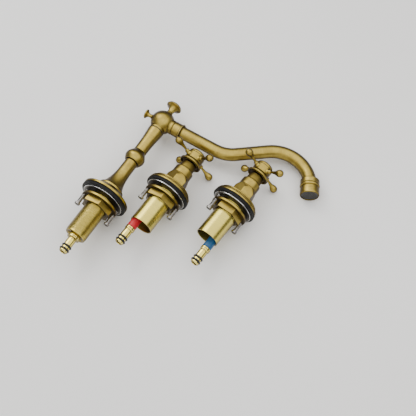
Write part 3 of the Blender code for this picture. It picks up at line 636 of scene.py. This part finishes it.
def makePiece(node, shape, place, grime=None):
    words = node.split("_")
    name = words[0] + "".join(word.capitalize() for word in words[1:])
    mesh = meshOf(shape, name)
    grain = mesh.attributes.new("grain", "FLOAT_VECTOR", "POINT")
    grain.data.foreach_set("vector", shape["grain"].astype(np.float32).ravel())
    shell = bmesh.new()
    shell.from_mesh(mesh)
    bmesh.ops.remove_doubles(shell, verts=shell.verts, dist=1e-4)
    bmesh.ops.recalc_face_normals(shell, faces=shell.faces)
    shell.to_mesh(mesh)
    shell.free()
    edge = mesh.attributes.new("edge", "FLOAT", "POINT")
    bends = bending(mesh)
    # Painted light: a shape's own mask lowers the edge value where shade is painted and raises it where a
    # highlight is painted.
    if grime:
        x, y, z = readOut(mesh.vertices, "co").T
        bends -= grime(np.hypot(x, y), z)
    edge.data.foreach_set("value", bends.astype(np.float32))
    mesh.polygons.foreach_set("use_smooth", [True] * len(mesh.polygons))
    mesh.transform(toMetres @ place)
    mesh.materials.append(materials[slotOf[node]])
    piece = bpy.data.objects.new(name, mesh)
    sceneObjects.link(piece)
    weighted = piece.modifiers.new("evenShading", "WEIGHTED_NORMAL")
    weighted.keep_sharp, weighted.weight = True, 60
    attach(piece, bodyOf[node])
    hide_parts(node)


# ---- mounting hardware, the same on all three units

mounting = {
    "seat": 0.3, "gasket": 3.0, "washer": 1.0, "nutDrop": 9.0, "plateRadius": 20.7, "plate": 2.5,
    "bossFlats": 30.0, "boss": 6.0, "jackCircle": 18.2, "jackTop": 4.1, "jackGrip": 13.0, "jackShaft": 2.15,
    "jackHead": 3.0, "jackHole": 2.3, "jackPitch": 0.7, "threadPitch": 1.05, "threadDepth": 0.2,
}


def threaded(node, shape, pitch, low, high, fade, leastRadius):
    # Cuts a thread between two heights, wherever the shape is wider than the least radius.
    return through(grooveTree, shape, node, {
        "Turns Per Mm": 1 / pitch, "Depth": mounting["threadDepth"], "Low": low, "High": high, "Fade": fade,
        "Least Radius": leastRadius,
    })


def crossRecess(reach, half):
    outline, corners = [], [(half, reach), (half, half), (reach, half)]
    for _ in range(4):
        outline += corners
        corners = [(y, -x) for x, y in corners]
    return outline


def makeJackScrew(node, place):
    size = mounting
    top, head, wide, shaft = size["jackTop"], -size["jackGrip"], size["jackHead"], size["jackShaft"]
    body = fromEdge(shaft, top, (shaft, 0), (0.55, 0, 0.2), (0, -0.6, 0.2))
    body += [(shaft, head - 0.2), (0, head - 0.2)]
    body = threaded(node, turned(body, 32, 0.1), size["jackPitch"], head + 0.6, top + 0.3, 0.6, 1.2)
    collar = fromEdge(wide, head, (wide, 0), (0.3, 0, 0.15), (0, -0.4, 0.2), (0, -1.1, 0.3), (wide, -1.1))
    face = plate([ring(wide - 0.1, 48), crossRecess(1.75, 0.42)], head - 2.2, head - 1.0, 0.25)
    makePiece(node, together(body, turned(collar, 48, 0.4), face), place)


def makeMounting(unit, stand, pipe, gasketRadius, washerRadius, jackAngle):
    size, inner = mounting, pipe + 0.3
    seat, rib = size["seat"], (size["gasket"] - 1.2) / 2
    half = [(inner, -seat, 0.2)]
    half += fromEdge(gasketRadius, -seat, (0.5, 0, 0.3), (0, -0.6, 0.3), (0, -rib), (0.35, -rib - 0.25, 0.1))
    makePiece(f"{unit}_gasket", turned(mirrored(half, -seat - size["gasket"] / 2), 128), stand)
    washerHigh, paintedHighlightRim = -2 * seat - size["gasket"], washerRadius - 0.4
    washer = band(washerRadius, inner, washerHigh - size["washer"], washerHigh, 0.18)
    # Painted shade on the washer's face and a painted highlight along its outer rim.
    makePiece(f"{unit}_washer", turned(washer, 128), stand, lambda r, z: np.where(r < paintedHighlightRim, 0.95, -2.5))
    slide = stand @ placing((0, 0, -size["nutDrop"]), (0, 0, jackAngle))
    holes = [[(x + side * size["jackCircle"], y) for x, y in ring(size["jackHole"], 32)] for side in (-1, 1)]
    flange = plate([ring(size["plateRadius"]), ring(inner), *holes], -size["plate"], 0, 0.3)
    boss = plate([hexagon(size["bossFlats"]), ring(inner)], -size["plate"] - size["boss"], -1.0, 0.45)
    makePiece(f"{unit}_mounting_nut", together(flange, boss), slide)
    for number, side in enumerate((-1, 1), 1):
        makeJackScrew(f"{unit}_jack_screw_{number}", slide @ placing((side * size["jackCircle"], 0, 0)))


# ---- push-fit connectors

connector = {
    "bore": 2.75, "radius": 4.5, "groove": 3.3, "grooveHalf": 1.2, "collarLength": 3.7,
    "ringSpots": (3.2, 7.2), "ring": 0.95,
}


def makeConnector(unit, place, headRadius, headTop, collarRadius, collarTop, reach):
    size = connector
    radius, groove, bore = size["radius"], size["groove"], size["bore"]
    low = collarTop - size["collarLength"]
    middle = (collarTop + low) / 2
    outline = [
        (headRadius, headTop, 0.2), (headRadius, collarTop),
        *fromEdge(collarRadius, collarTop, (0.35, 0, 0.2), (0, -0.4, 0.2)),
        *fromEdge(collarRadius, middle, (0, 0.45, 0.15), (0.45, 0.2, 0.1), (0.45, -0.2, 0.1)),
        (collarRadius, middle - 0.45, 0.15), (collarRadius, low + 0.5, 0.2),
        *fromEdge(radius, low, (-0.2, 0, 0.1), (0.35, -0.25, 0.15), (0.35, -1.0, 0.15), (0, -1.3, 0.1)),
    ]
    for spot in reversed(size["ringSpots"]):
        high, foot = spot - reach + size["grooveHalf"], spot - reach - size["grooveHalf"]
        outline += [(radius, high, 0.12), (groove, high, 0.1), (groove, foot, 0.1), (radius, foot, 0.12)]
    outline += fromEdge(radius, -reach, (0, 0.9, 0.25), (0.9, 0, 0.15))
    outline += [(bore + 0.25, -reach, 0.1), (bore, 0.3 - reach), (bore, headTop)]
    makePiece(f"{unit}_nipple", turned(outline, 64, 0.8), place)
    for number, spot in enumerate(size["ringSpots"], 1):
        seal = arcLine(size["ring"], 90, -247.5, 16, (groove + 0.3 + size["ring"], spot - reach))
        makePiece(f"{unit}_nipple_seal_{number}", turned(seal, 64), place)


# ---- spout unit

spout = {
    "shankRadius": 11.5, "shankLength": 53.0, "flangeRadius": 26.3, "flangeRim": 2.2, "flangeHeight": 9.5,
    "flangeTop": 15.2, "washerInset": 3.3, "flare": 12.6, "shoulder": 14.2, "waist": 7.2, "flow": 4.9,
    "ringLow": 50.5, "ringHigh": 66.0, "ringBulge": 11.2, "ringFoot": 1.6, "columnTop": 98.3,
    "columnTopRadius": 8.9, "bush": 0.8, "ballHeight": 112.5, "ball": 13.2, "dip": 3.26, "finialTop": 28.5,
    "rearEnd": 22.6, "collar": 8.1, "collarEnd": 26.0, "collarLip": 9.0, "jackAngle": 20,
}
tube = {
    "start": 15.8, "radius": 7.05, "endRadius": 7.45, "straight": 51.2, "lowBend": 39.0, "lowRadius": 35.0,
    "rise": 35.4, "topBend": 104.0, "topRadius": 38.0, "tip": 12.8, "stop": 12.0, "around": 64,
}
nozzle = {"radius": 10.75, "length": 19.5, "wall": 1.75, "recess": 0.8, "depth": 9.3, "mouthGap": 1.15}


def makeShank(stand):
    radius, end, flow = spout["shankRadius"], -spout["shankLength"], spout["flow"]
    outline = [
        (8.6, 14.5, 0.3), (8.6, 8.0), (radius, 8.0, 0.4),
        *fromEdge(radius, end, (0, 2.4), (0.4, 2.0, 0.1), (0.4, 0.5, 0.1), (0.9, 0, 0.1)),
        (8.7, end, 0.1), (7.3, end + 1.6, 0.2), (6.0, end + 1.6), (6.0, end + 11.0), (8.2, end + 13.0),
        (8.2, 1.0), (flow, 4.0), (flow, 14.5, 0.3),
    ]
    shape, pitch = turned(outline, 96, 0.2), mounting["threadPitch"]
    makePiece("spout_shank", threaded("spout_shank", shape, pitch, end + 1.8, -1.0, 0.8, radius - 0.9), stand)


def makeSpoutFlange(stand):
    height, rim, radius, top = (spout["flange" + part] for part in ("Height", "Rim", "Radius", "Top"))
    dish = [(top + 0.7, height - 0.7), (16.8, 7.75), (18.5, 6.35), (20.6, 4.95), (23.0, 3.8), (25.0, 3.05)]
    outline = [
        (top, height, 0.25), *flowing(dish, 4), (radius - 0.5, rim + 0.6, 0.5), (radius, rim, 0.4),
        (radius, 0.1, 0.5), (radius - 2.4, 0.0, 0.3), (radius - 2.4, rim - 0.9, 0.5),
        (top + 0.6, height - 4.2, 0.5), (11.8, height - 4.0), (11.8, height, 0.2),
    ]
    makePiece("spout_escutcheon", turned(outline, 128, 1.2), stand)


def makeColumn(stand):
    size, seat = spout, mounting["seat"]
    waist, flow, shoulder, high = size["waist"], size["flow"], size["shoulder"], size["ringHigh"]
    base, low = size["flangeHeight"] + seat, size["ringLow"] - seat
    foot, widening = base + 3.0, size["flare"] - waist
    drop = low - 0.3 - foot
    lower = [
        (waist - 0.2, low, 0.1),
        *[(waist + widening * (i / 28) ** 4, low - 0.3 - drop * i / 28) for i in range(29)],
        *fromEdge(shoulder, foot, (0.25, -0.5, 0.4), (0, -1.1, 0.4)),
        *fromEdge(shoulder, base, (0, 0.2, 0.2), (0.3, 0)),
        (8.9, base), (8.9, 14.8), (flow, 14.8), (flow, low),
    ]
    makePiece("spout_column_lower", turned(lower, 128, 1.2), stand)
    middle, half = (size["ringLow"] + high) / 2, (high - size["ringLow"]) / 2 - seat
    barrel = [(waist - 0.1, middle + half, 0.1)]
    for i in range(1, 40):
        share = i / 40
        end = waist + size["ringFoot"] * share
        radius = end + (size["ringBulge"] - end) * sin(pi * share**1.3)
        barrel.append((radius, middle + half * (1 - 2 * share)))
    barrel += fromEdge(waist + size["ringFoot"], middle - half, (0, 0.15, 0.1), (0.2, 0, 0.1))
    barrel += [(flow, middle - half), (flow, middle + half)]
    makePiece("spout_column_ring", turned(barrel, 128, 1.0), stand)
    top, radius = size["columnTop"], size["columnTopRadius"]
    drop, widening = top - high - 1.7, radius - waist
    upper = [
        *fromEdge(radius, top, (0.25, 0, 0.15), (0, -0.35, 0.2)),
        *[(waist + widening * (1 - i / 24) ** 2.2, top - 1.4 - drop * i / 24) for i in range(25)],
        (waist - 0.2, high, 0.1), (flow, high), (flow, top),
    ]
    makePiece("spout_column_upper", turned(upper, 128, 1.2), stand)
    bush = band(radius - 0.5, flow, top + seat, top + seat + size["bush"], 0.15)
    makePiece("spout_swivel_bush", turned(bush, 96), stand)


def makeSpoutBase():
    stand = unitFrame("spout")
    makeShank(stand)
    makeSpoutFlange(stand)
    makeColumn(stand)
    makeConnector("spout", stand, 5.7, headTop=-43.0, collarRadius=6.8, collarTop=-53.3, reach=74.0)
    washer = spout["flangeRadius"] - spout["washerInset"]
    makeMounting("spout", stand, spout["shankRadius"], spout["flangeRadius"], washer, spout["jackAngle"])
    print("spout base made")


def makeBall(swivel):
    ball = spout["ball"]
    seam, width = 50.0, 1.3  # degrees from the ball's middle towards the collar, and half the seam's width
    sphere = [
        (0.0, ball), *arcLine(ball, 88, seam + width, 26),
        *arcLine(ball - 0.28, seam + width * 0.6, seam - width * 0.6, 3),
        *arcLine(ball, seam - width, -88, 60), (0.0, -ball),
    ]
    low = spout["columnTop"] + spout["bush"] + 0.6 - spout["ballHeight"]
    neck = [
        (0, -6.0), (8.0, -6.0), (8.9, low + 1.2, 0.2), (8.9, low - 0.55, 0.15), (8.55, low - 0.6, 0.1),
        (8.5, low), (0, low),
    ]
    sphere = moved(turned(sphere, 128), placing(turn=(0, 90, 0)))
    makePiece("spout_ball", together(sphere, turned(neck, 96, 0.8)), swivel)


def makeFinials(swivel):
    top, end = spout["finialTop"], spout["rearEnd"]
    stem = [(3.45, 15.0), (3.4, 16.2), (3.7, 18.2), (4.5, 20.2), (6.0, 22.0), (7.6, 22.9), (8.4, 23.2)]
    outline = [
        (0, top), *arcLine(13.0, 88, 52, 12, (0, top - 13.0)), (8.3, 24.9, 0.2), (8.85, 24.5, 0.25),
        (9.0, 23.8, 0.3), *reversed(flowing(stem, 5)), (4.0, 13.9, 0.2), (3.9, 13.5), (1.6, 13.5), (1.6, 8.0),
        (0, 8.0),
    ]
    makePiece("spout_top_finial", turned(outline, 96, 0.8), swivel)
    stem = [(2.2, 15.2), (2.1, 16.4), (2.5, 17.9), (3.4, 19.2), (4.6, 20.1)]
    outline = [
        (0, end), (2.4, end - 0.1), (4.0, end - 0.5), (5.0, end - 1.0, 0.3), (5.5, end - 1.6, 0.35),
        (5.3, end - 2.2, 0.3), *reversed(flowing(stem, 5)), (2.7, 13.8, 0.15), (2.6, 13.5), (1.3, 13.5),
        (1.3, 8.7), (0, 8.7),
    ]
    makePiece("spout_rear_finial", turned(outline, 72, 0.6), swivel @ placing(turn=(0, -90, 0)))


def makeCollar(swivel):
    cup, radius, lip, far = spout["ball"] + 0.3, spout["collar"], spout["collarLip"], spout["collarEnd"]
    outline = [
        (7.8, far, 0.1), (7.75, far - 1.5, 0.1),
        *fromEdge(lip, far, (0.3, -1.7, 0.1), (0, -2.0, 0.2), (0, -2.6, 0.3)), (radius, far - 3.3, 0.3),
        *fromEdge(radius, cup, (0, 1.6, 0.15), (0.45, 1.2, 0.1), (0.45, 0.5, 0.1), (0, 0.1, 0.15), (0, -1.5)),
        *arcLine(cup, 53.1, 69.1, 6), (4.8, 9.0), (3.4, 9.0), (3.4, 15.5), (7.5, 15.5), (7.5, far),
    ]

    def grime(r, z):  # painted shade inside the mouth, and a painted highlight on the lip
        onLip = (z < far - 1.65) & (z > far - 2.8) & (r > radius + 0.2)
        return 3.0 * (z > far - 1.6) - 3.0 * onLip

    makePiece("spout_collar", turned(outline, 112, 0.8), swivel @ placing(turn=(0, 90, 0)), grime)


def tubeRoute():
    # Points along the S of the spout: a straight run, a bend up, a rise, the long bend over and a short tip.
    size = tube
    outward, up, heading = size["start"], 0.0, 0.0
    route = [(outward, up)]
    for length, bend, radius, count in (
        (size["straight"], 0, 0, 34), (0, size["lowBend"], size["lowRadius"], 20), (size["rise"], 0, 0, 24),
        (0, -size["topBend"], size["topRadius"], 56), (size["tip"] - size["stop"], 0, 0, 1),
    ):
        step = radians(bend) / count
        chord = length / count if not bend else 2 * radius * sin(abs(step) / 2)
        for _ in range(count):
            heading += step / 2
            outward, up = outward + chord * cos(heading), up + chord * sin(heading)
            heading += step / 2
            route.append((outward, up))
    return route, heading


def makeTube(swivel, route):
    around, middle = tube["around"], 7.4  # the grain follows a tube of one radius
    values = {"Start Radius": tube["radius"], "End Radius": tube["endRadius"], "Around": around}
    swept = through(tubeTree, None, "spout_tube", values, path=[(outward, 0, up) for outward, up in route])
    rings = len(swept["points"]) // around
    steps = [0.0] + [dist(a, b) for a, b in zip(route, route[1:])]
    along = np.repeat(np.cumsum(steps)[:rings], around)
    turnAt = np.tile(np.arange(around) * 2 * pi / around, rings)
    swept["grain"] = np.column_stack([middle * np.cos(turnAt), middle * np.sin(turnAt), along])
    makePiece("spout_tube", swept, swivel)


def makeNozzle(outlet):
    radius, length, wall, depth = nozzle["radius"], nozzle["length"], nozzle["wall"], nozzle["depth"]
    mouth, inner = tube["endRadius"] + nozzle["mouthGap"], radius - wall
    outline = [
        (mouth + 0.3, length, 0.2),
        *fromEdge(radius, length, (1.0, -0.3, 0.4), (0.4, -1.1, 0.4), (0.4, -5.6, 0.2), (0.75, -5.9, 0.1),
                  (0.75, -6.3, 0.1), (0.2, -6.6, 0.2), (0, -7.4, 0.5), (0, -8.2, 0.5), (0.3, -9.1, 0.3),
                  (1.35, -9.5, 0.15), (1.35, -10.4, 0.15), (0.45, -10.8, 0.3)),
        *fromEdge(radius, 0, (0.35, 1.4, 0.4), (0.75, 0.35, 0.3)), (inner + 0.35, 0.0, 0.15),
        (inner, 0.3), (inner, depth), (7.0, depth), (7.0, 11.7), (mouth, 11.7), (mouth, length - 0.4, 0.2),
    ]
    # Painted shade: the nozzle is darkened at its mouth end, below 0.32 mm.
    makePiece("spout_nozzle", turned(outline, 128, 0.9), outlet, lambda r, z: 3.0 * (z < 0.32))
    rim, recess = inner - 0.3, nozzle["recess"]
    body = turned([
        (0, depth - 0.3), (rim, depth - 0.3, 0.2), (rim, recess, 0.25), (rim - 1.1, recess, 0.2),
        (rim - 1.3, recess + 0.5, 0.1), (0, recess + 0.5),
    ], 96, 0.8)
    values = {"Disc Radius": rim - 1.7, "Spacing": 1.1, "Pin Radius": 0.38, "Pin Height": 0.5}
    pins = through(gridTree, body, "spout_aerator", values, keepGrain=False)
    makePiece("spout_aerator", together(body, moved(pins, placing((0, 0, recess + 0.35)))), outlet)


def makeSpoutHead():
    swivel = unitFrame("spout") @ placing((0, 0, spout["ballHeight"]), (0, 0, spout["dip"]))
    route, heading = tubeRoute()
    outward, up = route[-1]
    face = (outward + tube["stop"] * cos(heading), 0, up + tube["stop"] * sin(heading))
    makeBall(swivel)
    makeFinials(swivel)
    makeCollar(swivel)
    makeTube(swivel, route)
    makeNozzle(swivel @ placing(face, (0, 270 - degrees(heading), 0)))
    print("spout head made")


# ---- valve units

valves = {
    "hot": {"jackAngle": 13, "pipeAngle": 195, "restAngle": 1},
    "cold": {"jackAngle": 30, "pipeAngle": 33, "restAngle": 7},
}
valve = {
    "rose": 24.6, "roseStep": 22.0, "roseHeight": 9.0, "roseTop": 13.4, "gasket": 25.0, "washer": 22.5,
    "sleeve": 12.5, "sleeveWall": 1.0, "sleeveLength": 48.0, "webLow": -17.0, "webHigh": -5.8, "web": 5.0,
    "bonnetFlats": 22.0, "bell": 10.6, "neck": 8.0, "neckTop": 39.5, "armPlane": 48.5, "armReach": 27.5,
    "armDrop": 4.0, "armNeck": 1.3, "arms": 4, "hub": 10.0, "hubTop": 52.5, "skirt": 12.5, "cap": 9.6,
    "capHeight": 5.2, "pipe": 4.1, "pipeOffset": 6.4, "portOffset": -4.3, "marker": 5.0, "markerLow": -56.0,
    "markerHigh": -40.0,
}


def makeValveBody(unit, stand, pipe):
    size = valve
    sleeve, inner = size["sleeve"], size["sleeve"] - size["sleeveWall"]
    end, low, high = -size["sleeveLength"], size["webLow"], size["webHigh"]
    outline = [
        (7.5, 16.5, 0.2), (9.0, 16.5, 0.3), (9.0, 7.0), (sleeve, 7.0, 0.3), (sleeve, end, 0.25),
        (inner, end, 0.25), *fromEdge(inner, low, (0, -0.5), (0.3, 0, 0.1), (0.6, 0)), (inner - 0.6, high),
        (7.5, high),
    ]
    shape, pitch = turned(outline, 96, 0.22), mounting["threadPitch"]
    shell = threaded(f"{unit}_body", shape, pitch, low - 2.0, 0.0, 1.0, sleeve - 0.5)
    ports = ((size["pipeOffset"], 4.4), (size["portOffset"], 1.9))
    holes = [[(x + offset, y) for x, y in ring(radius, 40)] for offset, radius in ports]
    web = moved(plate([ring(inner - 0.1), *holes], low, low + size["web"], 0.2), pipe)
    stop = moved(plate([ring(inner - 0.1)], low + size["web"], high, 0.1), pipe)
    grime = lambda r, z: 1.0 * ((r < inner + 0.2) & (z < -10))  # painted shade inside the sleeve
    makePiece(f"{unit}_body", together(shell, web, stop), stand, grime)


def makeValveTrim(unit, stand):
    size = valve
    rose, step, top, high = size["rose"], size["roseStep"], size["roseTop"], size["roseHeight"]
    flange = [
        (top, high, 0.2), (top + 1.2, 8.75, 0.3), *flowing([(15.6, 8.3), (17.2, 7.7), (18.6, 7.15)], 4),
        (18.9, 6.55, 0.15), (19.8, 6.3, 0.15), (20.1, 6.75, 0.2),
        *fromEdge(step, 0, (0.5, 6.35, 0.4), (0, 5.8, 0.3), (0, 5.0, 0.2), (0.9, 4.7, 0.1), (0.9, 3.95, 0.1),
                  (-0.4, 3.8, 0.15)),
        *fromEdge(rose, 0, (0.75, 3.55, 0.3), (0.55, 2.95, 0.2), (1.3, 2.75, 0.1), (1.3, 2.05, 0.1),
                  (0.2, 1.85, 0.2), (0, 1.5, 0.2), (0, 0.15, 0.15), (2.4, 0.0, 0.2), (2.4, 1.2, 0.3)),
        (19.8, 3.4, 0.3), (15.1, 5.6), (12.8, 5.9), (12.8, 7.3), (9.3, 7.3), (9.3, high, 0.2),
    ]
    makePiece(f"{unit}_escutcheon", turned(flange, 144, 0.9), stand)

    base, neck, top, bell = high + mounting["seat"], size["neck"], size["neckTop"], size["bell"]
    corner = size["bonnetFlats"] / 2 / cos(pi / 6)
    waist = [(neck + 0.2, top - 2.5), (neck + 0.35, top - 4.5), (neck + 0.3, top - 6.5)]
    outline = [
        (neck - 0.8, top, 0.2), (neck, top - 0.8, 0.3), *flowing(waist, 4), (neck + 0.1, top - 8.3, 0.3),
        (bell - 1.0, top - 8.75, 0.3), (bell - 0.15, top - 9.7, 0.5), (bell, 25.0), (bell, 21.9, 0.2),
        (bell + 0.45, 21.2, 0.15), (bell + 0.55, 20.6, 0.15), (corner - 0.3, 17.2, 0.5), (corner, 16.2, 0.3),
        (corner, base + 0.9, 0.3), (corner - 0.7, base, 0.3), (9.3, base), (9.3, 16.8), (5.5, 16.8),
        (5.5, top, 0.2),
    ]
    flats = {"Flats": size["bonnetFlats"], "Softness": 0.12}
    pressed = through(hexTree, turned(outline, 180, 0.45), f"{unit}_bonnet", flats)
    # Painted shade: the bonnet's neck above 30.2 mm, under the handle's skirt, is darkened.
    makePiece(f"{unit}_bonnet", pressed, stand, lambda r, z: np.clip((z - 30.2) * 1.2, 0, 1.2))


def makeHandle(unit, axis):
    size = valve
    top, hub, skirt, neck = size["hubTop"], size["hub"], size["skirt"], size["neck"]
    low = size["neckTop"] + 0.6
    outline = [
        *fromEdge(hub, top, (0.5, 0, 0.2), (0, -0.45, 0.2), (0, -7.9, 0.3)),
        *flowing([(hub + 0.25, top - 8.6), (hub + 0.8, top - 9.5), (skirt - 0.7, top - 10.3)], 4),
        (skirt, top - 10.9, 0.25),
        *fromEdge(skirt, low, (0, 0.5, 0.3), (0.5, 0, 0.25), (1.0, 0, 0.2), (1.5, 1.3, 0.4), (3.2, 1.6, 0.4)),
        (neck + 0.6, low + 0.5, 0.3), (3.3, low + 0.5), (3.3, 47.8), (1.8, 47.8), (1.8, 49.5), (4.0, 49.5),
        (4.0, top),
    ]
    reach, drop, thin = size["armReach"], size["armDrop"], size["armNeck"]
    taper = [
        (drop, reach - 0.3), (drop * 0.93, reach - 1.9), (drop * 0.72, reach - 4.0),
        (drop * 0.5, reach - 6.2), (thin + 0.3, reach - 8.8), (thin, reach - 11.6), (thin + 0.05, hub + 4.2),
    ]
    arm = [
        (0, reach + drop), *arcLine(drop, 84, 12, 12, (0, reach)), *flowing(taper, 5),
        *fromEdge(thin, hub, (-0.3, 3.7, 0.15), (-1.0, 3.3, 0.3), (-1.25, 2.5, 0.3), (-0.9, 1.9, 0.2)),
        *flowing(fromEdge(thin, hub, (-1.0, 1.5), (-1.3, 0.8), (-2.0, -0.2)), 4),
        (thin + 2.0, hub - 1.6), (0, hub - 1.6),
    ]
    spoke = moved(turned(arm, 40, 0.7), placing((0, 0, size["armPlane"]), (0, 90, 0)))
    count = size["arms"]
    values = {"Count": count, "Start": pi / count}
    spokes = through(spokeTree, spoke, f"{unit}_handle", values, keepGrain=False)
    spokes["grain"] = np.tile(spoke["grain"], (count, 1))
    grime = lambda r, z: 2.0 * ((z < low + 1.8) & (r < skirt - 1.1))  # painted shade inside the skirt
    makePiece(f"{unit}_handle", together(turned(outline, 128, 0.8), spokes), axis, grime)
    low, radius, height = top + 0.3, size["cap"], size["capHeight"]
    rise = height - 1.3
    dome = [
        (0, low + height),
        *[(radius * sin(a), low + 1.3 + rise * cos(a)) for a in np.linspace(0.08, 1.5, 22)],
        (radius, low + 0.25, 0.15), (radius - 0.25, low, 0.1), (0, low),
    ]
    makePiece(f"{unit}_handle_cap", turned(dome, 112, 0.8), axis)


def makeMarker(unit, place):
    radius, low, high = valve["marker"], valve["markerLow"], valve["markerHigh"]
    ribs = [(radius - 0.16 * (i % 4 in (1, 2)), high - 4.0 - 0.5 * i, 0.05) for i in range(16)]
    outline = [(radius, high, 0.2), *ribs, (radius, low, 0.25)]
    outline += [(radius - 0.6, low, 0.1), (radius - 0.6, high, 0.1)]
    makePiece(f"{unit}_marker", turned(outline, 64, 0.8), place)


def makeValve(unit):
    angles, stand, size = valves[unit], unitFrame(unit), valve
    pipe = placing(turn=(0, 0, angles["pipeAngle"]))
    pipeAxis = stand @ pipe @ placing((size["pipeOffset"], 0, 0))
    makeValveBody(unit, stand, pipe)
    makeValveTrim(unit, stand)
    makeHandle(unit, stand @ placing(turn=(0, 0, angles["restAngle"])))
    makeConnector(unit, pipeAxis, size["pipe"], headTop=-12.3, collarRadius=5.25, collarTop=-56.3, reach=77.0)
    makeMarker(unit, pipeAxis)
    makeMounting(unit, stand, size["sleeve"], size["gasket"], size["washer"], angles["jackAngle"])
    print(unit, "valve made")


def finishHiddenNodes():
    # Pieces sealed inside keep their own solids and only take their finish.
    for node, obj in frame["nodes"].items():
        if obj.hide_render:
            continue
        if obj.material_slots:
            obj.material_slots[0].material = materials[slotOf[node]]


makeSpoutBase()
makeSpoutHead()
makeValve("hot")
makeValve("cold")
finishHiddenNodes()


# ---- floor, light and camera

floorLook = {"size": 6.0, "colour": (0.95, 0.95, 0.955), "shade": (0.92, 0.92, 0.925), "roughness": 0.6}
lamps = {
    "overheadSoftbox": {
        "place": (0.30, 0.15, 0.95), "aim": (0.30, 0.15, 0.0), "size": (2.5, 2.1), "power": 29.0,
        "colour": (1.0, 0.985, 0.95),
    },
    "leftSoftbox": {
        "place": (-0.85, 0.35, 0.80), "aim": (0.0, 0.0, 0.0), "size": (0.5, 0.9), "power": 6.0,
        "colour": (1.0, 0.99, 0.97),
    },
    "frontSoftbox": {
        "place": (0.05, -1.35, 0.50), "aim": (0.0, 0.0, 0.0), "size": (1.6, 1.0), "power": 6.0,
        "colour": (1.0, 0.99, 0.97),
    },
}
sky = {"colour": (0.95, 0.96, 1.0, 1), "strength": 0.13}
view = {
    "azimuth": 29.8, "elevation": 62.0, "aim": (0.0152, 0.0039, 0.020), "distance": 0.7676,
    "lens": 64.04, "sensor": 36.0, "nearest": 0.01,
}


def makeFloor():
    mesh = bpy.data.meshes.new("floor")
    half = floorLook["size"] / 2
    corners = [(-half, -half, 0), (half, -half, 0), (half, half, 0), (-half, half, 0)]
    mesh.from_pydata(corners, [], [(0, 1, 2, 3)])
    floor = bpy.data.objects.new("floor", mesh)
    sceneObjects.link(floor)
    material, tree, shader = newMaterial("paleFloor")
    place = wire(tree, "ShaderNodeTexCoord")["Object"]
    cloud = ranged(tree, noise(tree, place, 2.5, 2.0), 0.35, 0.65)
    colour = blended(tree, cloud, (*floorLook["colour"], 1), (*floorLook["shade"], 1))
    tree.links.new(colour, shader.inputs["Base Color"])
    shader.inputs["Roughness"].default_value = floorLook["roughness"]
    mesh.materials.append(material)


def makeLights():
    for name, lamp in lamps.items():
        light = bpy.data.lights.new(name, "AREA")
        light.shape, (light.size, light.size_y) = "RECTANGLE", lamp["size"]
        light.energy, light.color = lamp["power"], lamp["colour"]
        obj = bpy.data.objects.new(name, light)
        obj.location = lamp["place"]
        obj.rotation_euler = (Vector(lamp["aim"]) - obj.location).to_track_quat("-Z", "Y").to_euler()
        sceneObjects.link(obj)
    world = bpy.data.worlds.new("studio")
    bpy.context.scene.world = world
    world.use_nodes = True
    back = world.node_tree.nodes["Background"]
    back.inputs["Color"].default_value = sky["colour"]
    back.inputs["Strength"].default_value = sky["strength"]


def makeCamera():
    azimuth, elevation = radians(view["azimuth"]), radians(view["elevation"])
    flat = cos(elevation)
    back = Vector((sin(azimuth) * flat, -cos(azimuth) * flat, sin(elevation)))
    camera = bpy.data.cameras.new("camera")
    camera.lens, camera.sensor_width, camera.clip_start = view["lens"], view["sensor"], view["nearest"]
    obj = bpy.data.objects.new("camera", camera)
    obj.location = Vector(view["aim"]) + back * view["distance"]
    obj.rotation_euler = (-back).to_track_quat("-Z", "Y").to_euler()
    sceneObjects.link(obj)
    bpy.context.scene.camera = obj


makeFloor()
makeLights()
makeCamera()
print("stage made")
